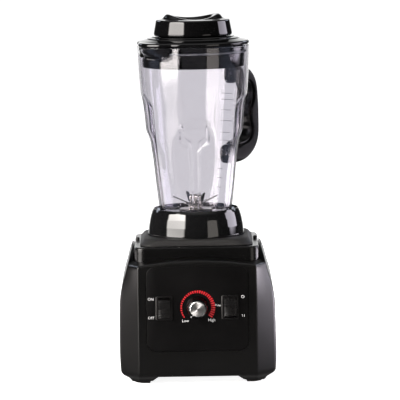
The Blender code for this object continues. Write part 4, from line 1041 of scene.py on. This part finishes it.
def build_marks():
    """Moulded level marks: short raised bars on the rear right wall."""
    verts, faces = [], []

    def bar(a0, a1, z, tall, proud=0.35):
        steps = 6
        b = len(verts)
        for i in range(steps + 1):
            a = a0 + (a1 - a0) * i / steps
            for dz, out in ((-tall / 2, 0.03), (-tall / 2 + 0.15, proud), (tall / 2 - 0.15, proud), (tall / 2, 0.03)):
                verts.append(on_wall(a, z + dz, out) * MM)
        for i in range(steps):
            for k in range(4):
                m = (k + 1) % 4
                p, q = b + i * 4, b + (i + 1) * 4
                faces.append((p + k, p + m, q + m, q + k))
        faces.append((b, b + 1, b + 2, b + 3))
        e = b + steps * 4
        faces.append((e + 3, e + 2, e + 1, e))

    for k, z in enumerate((386, 377.5, 363, 348, 331.5, 320.5)):
        bar(math.radians(38 if k % 2 else 41), math.radians(57), z, 0.6)
    for k in range(5):
        bar(math.radians(50), math.radians(57), 307 - 13 * k, 0.7)
    obj = finish_mesh("jar_level_marks", verts, faces, SCALE_INK, 30)
    bm = bmesh.new()
    bm.from_mesh(obj.data)
    bmesh.ops.recalc_face_normals(bm, faces=bm.faces)
    bm.to_mesh(obj.data)
    bm.free()
    put(obj, "jar")


build_marks()

# ======================================================================== handle
U45 = Vector((math.cos(math.pi / 4), math.sin(math.pi / 4), 0))
SIDE45 = Vector((0, 0, 1)).cross(U45) * -1      # towards the front right
BOW_OUT = [(77.0, 425.6), (84, 425.2), (92, 423.2), (101.5, 418), (109.5, 408.5), (114.2, 395), (116.4, 373), (116.8, 345), (116.0, 328),
           (112.6, 315), (105.6, 304.5), (95.6, 296.5), (83, 291.0), (66.4, 288.4)]
BOW_IN = [(75.5, 400.4), (83, 403.4), (92, 405.4), (100.6, 402.6), (106.3, 395), (108.5, 386.4), (106.6, 375), (102.6, 365), (101.2, 357),
          (102.2, 347), (104.6, 338), (104.8, 331.5), (101.2, 323), (95, 317.6), (86, 314.6), (76, 313.6), (67.2, 314.6)]


def bow_point(p, w):
    return (U45 * p[0] + Vector((0, 0, p[1])) + SIDE45 * w)


def build_bow():
    n = 84
    out, inn = smooth_curve(BOW_OUT, n), smooth_curve(BOW_IN, n)
    half = 13.4
    sections = []
    for o, i in zip(out, inn):
        o, i = np.array(o), np.array(i)
        thick = np.linalg.norm(i - o)
        share = len(sections) / (n - 1)
        near = max(0.0, 1 - min(share, 1 - share) / 0.14)
        near = near * near * (3 - 2 * near)
        ro, ri = 4.6 + 4.4 * near, 1.6 + 7.4 * near
        sec = []
        # rounded rectangle: (depth from the outer side, side)
        for cx, cy, r, a0 in ((ro, half - ro, ro, 90), (thick - ri, half - ri, ri, 0), (thick - ri, -half + ri, ri, -90), (ro, -half + ro, ro, 180)):
            for k in range(7):
                ang = math.radians(a0 + (90 - 90 * k / 6 if a0 in (90,) else 0))
                if a0 == 90:      # outer edge to side: from 180 to 90
                    ang = math.radians(180 - 90 * k / 6)
                elif a0 == 0:     # side to inner edge: from 90 to 0
                    ang = math.radians(90 - 90 * k / 6)
                elif a0 == -90:   # inner edge to the other side: from 0 to -90
                    ang = math.radians(0 - 90 * k / 6)
                else:             # other side to the outer edge: from -90 to -180
                    ang = math.radians(-90 - 90 * k / 6)
                sec.append((cx + r * math.cos(ang), cy + r * math.sin(ang)))
        row = []
        for d, w in sec:
            p = o + (i - o) * (d / thick)
            row.append(bow_point(p, w))
        sections.append(np.array(row))
    obj = loft("handle_bow", sections, HANDLE, caps=(True, True), deg=40)
    bm = bmesh.new()
    bm.from_mesh(obj.data)
    bmesh.ops.recalc_face_normals(bm, faces=bm.faces)
    bm.to_mesh(obj.data)
    bm.free()
    cutters = []
    for z, r, reach in ((414.0, 74.2, 100.8), (303.0, 64.6, 97.6)):
        for rad, lo, hi in ((5.5, r - 4, r + 8.6), (2.4, r - 4, 135), (4.4, reach - 3, 135)):
            disc = [(rad * math.cos(t), rad * math.sin(t)) for t in np.linspace(0, TAU, 32, endpoint=False)]
            centre = U45 * ((lo + hi) / 2)
            cutters.append(slab("bore", disc, hi - lo, axes(SIDE45 * -1, (0, 0, 1), (centre.x, centre.y, z)), None))
    # ribbed pockets in the two pads that lie against the jar
    for z, r, tall in ((412.6, 75.6, 20.0), (301.6, 66.8, 20.0)):
        for iy in (-1, 0, 1):
            for iz in (-1, 0, 1):
                if iy == 0 and iz == 0:
                    continue
                centre = U45 * (r + 0.4) + SIDE45 * (iy * 7.6) + Vector((0, 0, z + iz * 6.9))
                cutters.append(slab("pocket", rounded_rect(-3.3, -2.9, 3.3, 2.9, 0.7, 2), 5.0,
                                    axes(SIDE45 * -1, (0, 0, 1), tuple(centre)), None))
    cut(obj, *cutters)
    baked(obj, 40, cutters)
    put(obj, "jar", ["handle_shell"])


build_bow()


def build_lining():
    n = 96
    base = smooth_curve(BOW_IN[1:-1], n)
    half = 10.6
    sections = []
    middle = np.array((86.0, 362.0))
    for k in range(n):
        p = base[k]
        t = base[min(k + 1, n - 1)] - base[max(k - 1, 0)]
        t /= np.linalg.norm(t)
        nrm = np.array((-t[1], t[0]))
        if np.dot(nrm, middle - p) < 0:
            nrm = -nrm
        share = k / (n - 1)
        thick = 3.9 * min(1.0, share / 0.05 + 0.35, (1 - share) / 0.05 + 0.35)
        sec = []
        a, b = 0.32, thick
        r = min(1.6, (b - a) * 0.45)
        corners = ((a + 0.3, half - 0.3, 0.3, 180), (b - r, half - r, r, 90), (b - r, -half + r, r, 0), (a + 0.3, -half + 0.3, 0.3, -90))
        for cx, cy, rad, start in corners:
            for s in range(6):
                ang = math.radians(start - 90 * s / 5)
                sec.append((cx + rad * math.cos(ang), cy + rad * math.sin(ang)))
        sections.append(np.array([bow_point(p + nrm * d, w) for d, w in sec]))
    obj = loft("handle_grip_lining", sections, GRIP, caps=(True, True), deg=40)
    bm = bmesh.new()
    bm.from_mesh(obj.data)
    bmesh.ops.recalc_face_normals(bm, faces=bm.faces)
    bm.to_mesh(obj.data)
    bm.free()
    put(obj, "jar", ["handle_grip"])


build_lining()

# ======================================================================== collar and blade unit
def build_collar():
    prof = [(57.9, 230.8), (57.7, 232.6, 0.6), (58.9, 232.4, 0.8), (60.9, 228.6, 4.0), (63.4, 220.4, 12.0), (65.4, 209.5, 14.0),
            (66.5, 198.5, 6.0), (66.4, 193.4, 1.2), (65.7, 192.2, 0.7), (61.5, 192.2, 0.6), (61.5, 205.0, 4.0), (50.0, 222.6, 3.0),
            (46.0, 222.6), (46.0, 223.6), (52.9, 223.6, 1.0), (57.6, 229.5, 1.0)]
    obj = lathe("jar_collar_ring", prof, COLLAR, 160, ring=True, seg=6, deg=40)
    slots = []
    for k in range(4):
        a = math.radians(45 + 90 * k)
        u = Vector((math.cos(a), math.sin(a), 0))
        slots.append(slab("slot", rounded_rect(-5.6, -4.6, 5.6, 4.6, 1.0, 3), 20.0,
                          axes(u, u.cross(Vector((0, 0, -1))), (50 * u.x, 50 * u.y, 190.5)), None))
    cut(obj, *slots)
    baked(obj, 40, slots)
    put(obj, "jar", ["jar_collar"])


build_collar()


def build_hub():
    n = 192
    a = np.arange(n) / n * TAU

    def ring_at(r, z, rib=0.0):
        rr = r + rib * (0.5 + 0.5 * np.cos(32 * a)) ** 1.5 - rib * 0.5
        return np.stack([rr * np.cos(a), rr * np.sin(a), np.full(n, z)], 1)

    rings = [ring_at(6.2, 235.6), ring_at(6.5, 236.0), ring_at(8.6, 236.0), ring_at(9.3, 235.8), ring_at(9.7, 235.4), ring_at(9.9, 235.0, 0.9),
             ring_at(9.9, 233.0, 0.9), ring_at(9.9, 232.4, 0.2), ring_at(10.4, 231.6), ring_at(11.4, 230.9), ring_at(12.6, 230.6),
             ring_at(22.4, 230.6), ring_at(23.0, 230.2), ring_at(23.0, 229.0), ring_at(22.7, 228.6), ring_at(16.2, 228.6),
             ring_at(16.2, 209.3), ring_at(15.9, 209.0), ring_at(9.6, 209.0), ring_at(9.6, 227.0), ring_at(6.2, 227.0)]
    obj = loft("blade_hub_turned", rings, STEEL, ring=True, deg=28)
    put(obj, "jar", ["blade_hub"])


build_hub()


def blade(name, z, arms, mat=BLADE):
    """A punched strip with a ground edge: each arm is (azimuth, length, rise, width at root, width at tip, twist)."""
    t = 0.75
    verts, faces = [], []
    n = 32
    ang = np.arange(n) / n * TAU
    ring = []
    for r, zz in ((4.3, t), (8.2, t), (8.4, 0.0), (8.2, -t), (4.3, -t)):
        base = len(verts)
        verts += [(r * math.cos(a) * MM, r * math.sin(a) * MM, (z + zz) * MM) for a in ang]
        ring.append(base)
    for a, b in zip(ring, ring[1:] + ring[:1]):
        for i in range(n):
            j = (i + 1) % n
            faces.append((a + i, b + i, b + j, a + j))
    hub = finish_mesh(name, verts, faces, mat, 35)
    bm = bmesh.new()
    bm.from_mesh(hub.data)
    bmesh.ops.recalc_face_normals(bm, faces=bm.faces)
    bm.to_mesh(hub.data)
    bm.free()
    helpers = []
    for azimuth, length, rise, root, tip, sweep in arms:
        a = math.radians(azimuth)
        u, v = Vector((math.cos(a), math.sin(a), 0)), Vector((-math.sin(a), math.cos(a), 0))
        slope = math.radians(rise)
        stations = [(5.2, 0.0, 0.0), (9.2, 0.0, 0.0)]
        bend = 5
        for k in range(1, bend + 1):
            th = slope * k / bend
            stations.append((stations[-1][0] + 0.6 * math.cos(th), stations[-1][1] + 0.6 * math.sin(th), 0.0))
        for k in range(1, 9):
            s = length * k / 8
            stations.append((stations[1 + bend][0] + s * math.cos(slope), stations[1 + bend][1] + s * math.sin(slope), k / 8))
        rows = []
        total = len(stations)
        for i, (d, h, share) in enumerate(stations):
            th = 0 if i < 2 else slope * min(1, (i - 1) / bend)
            nrm = (u * -math.sin(th) + Vector((0, 0, 1)) * math.cos(th))
            wide = root + (tip - root) * share ** 1.3
            lead, trail = wide * 0.5 - sweep * share ** 1.4 * 0.0, -wide * 0.5 + sweep * share ** 1.5
            centre = u * d + Vector((0, 0, z + h))
            edge = t * (0.12 if share > 0 else 1.0)
            bevel = 2.6 if share > 0 else 0.3
            if share >= 1.0:
                trail = lead - 1.2
            row = [centre + v * lead + nrm * (edge), centre + v * (lead - min(bevel, (lead - trail) * 0.45)) + nrm * t, centre + v * trail + nrm * t * 0.9,
                   centre + v * trail - nrm * t * 0.9, centre + v * (lead - 0.2) - nrm * t, centre + v * lead - nrm * edge]
            rows.append(np.array(row))
        arm = loft("arm", rows, mat, caps=(True, True), deg=35)
        bm = bmesh.new()
        bm.from_mesh(arm.data)
        bmesh.ops.recalc_face_normals(bm, faces=bm.faces)
        bm.to_mesh(arm.data)
        bm.free()
        helpers.append(arm)
    cut(hub, *helpers, operation="UNION")
    baked(hub, 30, helpers)
    return hub


put(blade("blade_wide_ground", 239.4, [(8, 21.5, 24, 9.5, 6.0, 3.4), (188, 21.5, 24, 9.5, 6.0, 3.4)]), "blades", ["blade_wide"])
put(blade("blade_steep_ground", 241.4, [(128, 12.5, 60, 8.5, 5.5, 2.6), (308, 12.5, 60, 8.5, 5.5, 2.6)]), "blades", ["blade_steep"])
put(blade("blade_low_ground", 237.4, [(53, 15.5, 12, 8.5, 5.5, 3.0), (233, 15.5, 12, 8.5, 5.5, 3.0)]), "blades", ["blade_low"])


def build_blade_nut():
    n = 168
    a = np.arange(n) / n * TAU

    def ring_at(r, z, rib=0.0):
        rr = r + rib * (0.5 + 0.5 * np.cos(24 * a)) ** 1.3 - rib
        return np.stack([rr * np.cos(a), rr * np.sin(a), np.full(n, z)], 1)

    rings = [ring_at(0.4, 251.6), ring_at(2.6, 251.5), ring_at(4.6, 251.1), ring_at(6.2, 250.5), ring_at(7.4, 249.6, 0.1), ring_at(8.2, 248.6, 0.6),
             ring_at(8.5, 247.4, 0.9), ring_at(8.6, 244.6, 0.9), ring_at(8.5, 243.6, 0.7), ring_at(8.0, 243.1, 0.1), ring_at(4.8, 243.0),
             ring_at(4.8, 246.2), ring_at(0.4, 246.2)]
    obj = loft("blade_cap_nut", rings, STEEL, caps=(True, True), deg=32)
    bm = bmesh.new()
    bm.from_mesh(obj.data)
    bmesh.ops.recalc_face_normals(bm, faces=bm.faces)
    bm.to_mesh(obj.data)
    bm.free()
    put(obj, "blades", ["blade_nut"])


build_blade_nut()

# ======================================================================== lid
def build_lid():
    prof = [(45.7, 470.6, 0.4), (46.4, 471.3, 0.5), (56.6, 471.4, 1.4), (57.8, 470.3, 0.8), (63.2, 469.1, 2.0), (64.6, 467.9, 0.9), (71.0, 466.4, 3.0),
            (76.6, 465.2, 1.8), (78.1, 463.6, 0.9), (78.0, 461.4, 0.9), (76.9, 460.2, 0.6), (72.0, 460.2, 0.8), (71.3, 458.0, 1.0),
            (71.2, 451.7, 0.2), (69.7, 451.6, 0.2), (69.7, 448.4, 0.2), (71.2, 448.3, 0.4), (70.6, 430.0, 1.0), (69.6, 429.4, 0.4), (68.0, 429.4, 0.5),
            (67.5, 430.2, 0.5), (67.6, 458.4, 1.5), (66.0, 459.6, 1.0), (56.4, 462.5, 1.0), (49.6, 462.5, 1.6), (49.0, 460.6, 1.0), (49.0, 446.9, 0.4), (48.4, 446.4, 0.3),
            (46.2, 446.4, 0.3), (45.7, 447.0, 0.3)]
    lid = lathe("lid_cover", prof, GLOSS, 176, ring=True, seg=5, deg=38)
    helpers = []
    # spout flap: it fills the jar's pouring lip and covers its edge
    rows = []
    for z in (465.2, 465.0, 464.2, 463.0, 461.4, 460.5, 460.2, 459.6, 458.4, 456.4, 454.6, 453.0, 451.4, 449.8, 448.4, 447.2, 446.4):
        over = z > 460
        pour = np.interp(min(z, 459.0), *T_POUR)
        least = 0.9 if not over else 0.35
        half = SPOUT_HALF * math.acos(min(0.985, (least / pour) ** 0.625)) / (math.pi / 2)
        inside = 74.05 if z < 453 else 68.4
        row = []
        for i in range(33):
            t = (-1 + 2 * i / 32) * half
            a = SPOUT + t
            spout = pour * math.cos(t / SPOUT_HALF * math.pi / 2) ** 1.6
            out = body_radius(a, min(z, 459.0)) + spout - 3.3 - 0.5
            if over:
                out = body_radius(a, 459.0) + spout + {465.2: -3.4, 465.0: -1.9, 464.2: -0.4, 463.0: 0.3, 461.4: 0.3, 460.5: 0.1, 460.2: -0.5}[z]
                out = max(out, 70.0)
            row.append((out * math.cos(a), out * math.sin(a), z))
        for i in range(13):
            a = SPOUT + (1 - 2 * i / 12) * half * 0.98
            row.append((inside * math.cos(a), inside * math.sin(a), z))
        rows.append(np.array(row))
    flap = loft("flap", rows, GLOSS, caps=(True, True), deg=38)
    bm = bmesh.new()
    bm.from_mesh(flap.data)
    bmesh.ops.recalc_face_normals(bm, faces=bm.faces)
    bm.to_mesh(flap.data)
    bm.free()
    helpers.append(flap)
    # thumb tab over the handle, turned down at its end
    pts = [(66.0, 461.0), (80.0, 460.4), (84.2, 460.0), (85.2, 458.6), (85.6, 453.4), (86.8, 453.2), (87.9, 454.2), (88.0, 461.4), (86.8, 463.6),
           (84.4, 464.4), (76.0, 465.0), (66.0, 465.6)]
    pts = fillet([(p[0], p[1], 0.8) for p in pts], 3, True)
    tab = slab("tab", pts, 26.0, axes(U45, (0, 0, 1)), GLOSS, 1.2, 3)
    helpers.append(tab)
    cut(lid, *helpers, operation="UNION")
    baked(lid, 38, helpers)
    put(lid, "lid", ["lid_body"])


build_lid()


def build_cap():
    n = 144
    a = np.arange(n) / n * TAU

    def cap_ring(radius, z, wave=0.0, power=1.0, turn=0.12):
        lobe = (0.5 * (1 + np.cos(2 * (a - turn)))) ** power
        return np.stack([radius * np.cos(a), radius * np.sin(a), z + wave * lobe], 1)

    key = [(3.0, 490.3, 0.0), (14.0, 490.4, 0.2), (20.5, 490.9, 0.9), (24.5, 491.9, 3.2), (27.6, 493.2, 5.4), (30.4, 494.3, 6.5), (32.8, 494.9, 6.9),
           (35.0, 495.1, 6.9), (37.0, 495.1, 6.3), (38.8, 495.0, 5.0), (40.4, 494.9, 3.1), (42.2, 494.9, 1.3), (45.0, 494.8, 0.2), (49.2, 494.4, 0.0)]
    smooth = smooth_curve(key, 44)
    rings = [cap_ring(r, z, w) for r, z, w in smooth]
    for k in range(1, 7):
        t = k / 6 * math.radians(80)
        rings.append(cap_ring(49.2 + 2.3 * math.sin(t), 492.0 + 2.3 * math.cos(t)))
    rings += [cap_ring(51.9, 489.8), cap_ring(53.2, 483.0), cap_ring(54.3, 477.0), cap_ring(54.6, 475.4), cap_ring(54.5, 474.4), cap_ring(54.0, 473.2),
              cap_ring(53.0, 472.3), cap_ring(51.6, 471.9), cap_ring(45.0, 471.8), cap_ring(44.2, 471.5), cap_ring(44.0, 470.8), cap_ring(43.8, 460),
              cap_ring(43.6, 448.0), cap_ring(43.2, 447.2), cap_ring(42.4, 446.9), cap_ring(41.4, 447.4), cap_ring(41.2, 448.4),
              cap_ring(41.2, 484.0), cap_ring(40.2, 486.6), cap_ring(37.0, 488.0), cap_ring(8.0, 488.2)]
    cap = loft("filler_cap_cover", rings, GLOSS, caps=(True, True), deg=36)
    bm = bmesh.new()
    bm.from_mesh(cap.data)
    bmesh.ops.recalc_face_normals(bm, faces=bm.faces)
    bm.to_mesh(cap.data)
    bm.free()
    put(cap, "cap", ["filler_cap"])


build_cap()

# ======================================================================== floor, backdrop and light
def emitter(name, colour, strength):
    mat = bpy.data.materials.new(name)
    mat.use_nodes = True
    n = Nodes(mat.node_tree)
    mat.node_tree.nodes.clear()
    out = n.add("ShaderNodeOutputMaterial")
    e = n.add("ShaderNodeEmission")
    e.inputs["Color"].default_value = (*colour, 1)
    e.inputs["Strength"].default_value = strength
    n.link(e.outputs["Emission"], out.inputs["Surface"])
    return mat


def build_stage():
    # a white dome behind everything
    bm = bmesh.new()
    bmesh.ops.create_icosphere(bm, subdivisions=4, radius=12.0)
    bmesh.ops.reverse_faces(bm, faces=bm.faces)
    mesh = bpy.data.meshes.new("backdrop")
    bm.to_mesh(mesh)
    bm.free()
    mesh.materials.append(emitter("backdrop_white", (1, 1, 1), 1.1))
    dome = bpy.data.objects.new("backdrop", mesh)
    scene.collection.objects.link(dome)
    dome.visible_diffuse = dome.visible_glossy = dome.visible_shadow = dome.visible_transmission = False
    # what shows through the clear jar: white behind, dimmer towards the front of the studio
    far = mesh.copy()
    far.name = "backdrop_seen_through"
    far.transform(Matrix.Scale(0.97, 4))
    glow = bpy.data.materials.new("backdrop_seen_through")
    glow.use_nodes = True
    g = Nodes(glow.node_tree)
    glow.node_tree.nodes.clear()
    where = g.add("ShaderNodeSeparateXYZ", {"Vector": g.add("ShaderNodeTexCoord").outputs["Object"]})
    light = g.add("ShaderNodeEmission")
    aside = g.math("ARCTAN2", g.math("ABSOLUTE", where.outputs["X"]), where.outputs["Y"])
    shades = g.ramp(g.math("DIVIDE", aside, math.pi),
                    [(0.0, (1, 1, 1)), (0.14, (1, 1, 1)), (0.20, (0.06, 0.065, 0.08)), (0.36, (0.05, 0.05, 0.05)), (0.43, (0.36, 0.40, 0.50)),
                     (0.60, (0.36, 0.40, 0.50)), (0.72, (0.25, 0.25, 0.26))])
    g.link(shades, light.inputs["Color"])
    g.link(light.outputs["Emission"], g.add("ShaderNodeOutputMaterial").inputs["Surface"])
    far.materials.clear()
    far.materials.append(glow)
    through = bpy.data.objects.new("backdrop_seen_through", far)
    scene.collection.objects.link(through)
    through.visible_camera = through.visible_diffuse = through.visible_glossy = through.visible_shadow = False
    # floor
    a = np.arange(96) / 96 * TAU
    verts = [(0, 0, 0)] + [(r * math.cos(t), r * math.sin(t), 0) for r in (0.3, 1.0, 3.0, 8.0) for t in a]
    faces = [(0, 1 + i, 1 + (i + 1) % 96) for i in range(96)]
    for k in range(3):
        for i in range(96):
            j = (i + 1) % 96
            faces.append((1 + k * 96 + i, 1 + (k + 1) * 96 + i, 1 + (k + 1) * 96 + j, 1 + k * 96 + j))
    mesh = bpy.data.meshes.new("floor")
    mesh.from_pydata(verts, [], faces)
    mat = bpy.data.materials.new("floor_white")
    mat.use_nodes = True
    n = Nodes(mat.node_tree)
    bsdf = mat.node_tree.nodes["Principled BSDF"]
    coord = n.add("ShaderNodeTexCoord").outputs["Object"]
    n.link(n.ramp(n.noise(30, 3, 0.5, coord), [(0.3, (0.80, 0.80, 0.80)), (0.7, (0.82, 0.82, 0.82))]), bsdf.inputs["Base Color"])
    bsdf.inputs["Roughness"].default_value = 0.8
    bsdf.inputs["Specular IOR Level"].default_value = 0.0
    bsdf.inputs["Emission Color"].default_value = (1, 1, 1, 1)
    bsdf.inputs["Emission Strength"].default_value = 0.9
    mesh.materials.append(mat)
    floor = bpy.data.objects.new("floor", mesh)
    scene.collection.objects.link(floor)
    floor.visible_glossy = floor.visible_transmission = floor.visible_shadow = False
    # only the floor close by shows in the glossy pieces
    near = bpy.data.meshes.new("near_floor")
    near.from_pydata([(r * math.cos(t), r * math.sin(t), -0.0005) for r in (0.1, 0.36) for t in a], [],
                     [(i, 96 + i, 96 + (i + 1) % 96, (i + 1) % 96) for i in range(96)])
    near.materials.append(emitter("near_floor_white", (1.0, 0.97, 0.96), 0.2))
    near_floor = bpy.data.objects.new("near_floor", near)
    scene.collection.objects.link(near_floor)
    near_floor.visible_camera = near_floor.visible_diffuse = near_floor.visible_transmission = near_floor.visible_shadow = False


build_stage()


def card(name, azimuth, distance, low, high, width, radiance, colour=(1, 1, 1), fade=0.14, power=4.0, levels=((0.0, 1.0), (1.0, 1.0))):
    """An upright glowing panel. Azimuth is from the front (-Y), positive to the right; low and high are heights in m.
    Its edges fade, and levels gives its brightness from foot (0) to head (1)."""
    az = math.radians(azimuth)
    out = Vector((math.sin(az), -math.cos(az), 0))
    side = Vector((0, 0, 1)).cross(out)
    half_w, half_h = width / 2, (high - low) / 2
    mesh = bpy.data.meshes.new(name)
    mesh.from_pydata([(-half_w, -half_h, 0), (half_w, -half_h, 0), (half_w, half_h, 0), (-half_w, half_h, 0)], [], [(0, 1, 2, 3)])
    mat = bpy.data.materials.new(name)
    mat.use_nodes = True
    n = Nodes(mat.node_tree)
    mat.node_tree.nodes.clear()
    where = n.add("ShaderNodeSeparateXYZ", {"Vector": n.add("ShaderNodeTexCoord").outputs["Object"]})
    u = n.math("ABSOLUTE", n.math("DIVIDE", where.outputs["X"], half_w))
    v = n.math("DIVIDE", where.outputs["Y"], half_h)
    rho = n.math("POWER", n.math("ADD", n.math("POWER", u, power), n.math("POWER", n.math("ABSOLUTE", v), power)), 1 / power)
    mask = n.remap(rho, 1 - fade, 1.0, 1.0, 0.0, True)
    up = n.ramp(n.math("ADD", n.math("MULTIPLY", v, 0.5), 0.5), [(at, (level,) * 3) for at, level in levels])
    tone = n.add("ShaderNodeMix", data_type="RGBA", blend_type="MULTIPLY")
    tone.inputs["Factor"].default_value = 1.0
    n.link(up, tone.inputs[6])
    tone.inputs[7].default_value = (*colour, 1)
    light = n.add("ShaderNodeEmission", {"Strength": n.math("MULTIPLY", mask, radiance)})
    n.link(tone.outputs[2], light.inputs["Color"])
    # the panel glows towards the object only
    back = n.add("ShaderNodeNewGeometry").outputs["Backfacing"]
    hole = n.add("ShaderNodeBsdfTransparent")
    pick = n.add("ShaderNodeMixShader")
    n.link(back, pick.inputs[0])
    n.link(light.outputs["Emission"], pick.inputs[1])
    n.link(hole.outputs["BSDF"], pick.inputs[2])
    n.link(pick.outputs["Shader"], n.add("ShaderNodeOutputMaterial").inputs["Surface"])
    mesh.materials.append(mat)
    obj = bpy.data.objects.new(name, mesh)
    scene.collection.objects.link(obj)
    m = Matrix((side, Vector((0, 0, 1)), out * -1)).transposed().to_4x4()
    m.translation = out * distance + Vector((0, 0, (low + high) / 2))
    obj.matrix_world = m
    obj.visible_camera = False
    obj.visible_shadow = False
    return obj


card("key_softbox", -52, 2.6, -0.82, 2.82, 2.65, 17.0, (1.0, 0.955, 0.92), fade=0.20, power=2.0,
     levels=((0.0, 0.05), (0.12, 0.13), (0.19, 0.17), (0.225, 0.50), (0.28, 0.48), (0.335, 0.34), (0.45, 0.60), (0.57, 0.72), (0.66, 1.0), (1.0, 0.9)))
card("low_card", 40, 0.95, -0.15, 0.58, 0.46, 1.3, (1.0, 0.93, 0.87))
card("side_panel", 102, 2.0, 0.17, 1.5, 1.38, 5.2, (0.93, 0.88, 1.0), fade=0.16)
for name, azimuth, radiance, colour in (("base_card_right", 104, 10.0, (0.97, 0.90, 1.0)), ("base_card_left", -104, 2.2, (1.0, 0.93, 0.92))):
    card(name, azimuth, 0.8, -0.08, 0.16, 0.56, radiance, colour, fade=0.3, power=2.5).visible_transmission = False
card("rim_card_left", -138, 2.0, 0.78, 1.5, 0.85, 3.0, (0.80, 0.86, 1.0), fade=0.2)
card("rim_card_right", 140, 2.0, 0.78, 1.5, 0.85, 3.0, (0.80, 0.86, 1.0), fade=0.2)

world = bpy.data.worlds.new("studio")
scene.world = world
world.use_nodes = True
wn = Nodes(world.node_tree)
bg = world.node_tree.nodes["Background"]
direction = wn.add("ShaderNodeTexCoord").outputs["Generated"]
wsep = wn.add("ShaderNodeSeparateXYZ", {"Vector": direction})
bg.inputs["Color"].default_value = (1, 1, 1, 1)
rear = wn.remap(wsep.outputs["Y"], 0.90, 0.975, 0.03, 1.4, True)
above = wn.remap(wsep.outputs["Z"], 0.55, 0.95, 0.0, 0.5, True)
wn.link(wn.math("MAXIMUM", rear, above), bg.inputs["Strength"])

# ======================================================================== camera
def build_camera():
    D, h, S, zt, tx, roll = 5.0, 0.80, 1.39e-3, 0.2424, 0.006, math.radians(0.95)
    spot, target = Vector((tx, -D, h)), Vector((tx, 0, zt))
    f = target - spot
    dist = f.length
    f.normalize()
    r = f.cross(Vector((0, 0, 1))).normalized()
    u = r.cross(f)
    r2 = r * math.cos(roll) - u * math.sin(roll)
    u2 = r * math.sin(roll) + u * math.cos(roll)
    m = Matrix((r2, u2, -f)).transposed().to_4x4()
    m.translation = spot
    data = bpy.data.cameras.new("camera")
    data.sensor_width = 36
    data.lens = (dist / S) * 36 / 400
    data.clip_start, data.clip_end = 0.05, 100
    cam = bpy.data.objects.new("camera", data)
    scene.collection.objects.link(cam)
    cam.matrix_world = m
    scene.camera = cam


build_camera()
scene.view_settings.view_transform = "Standard"
scene.view_settings.look = "None"
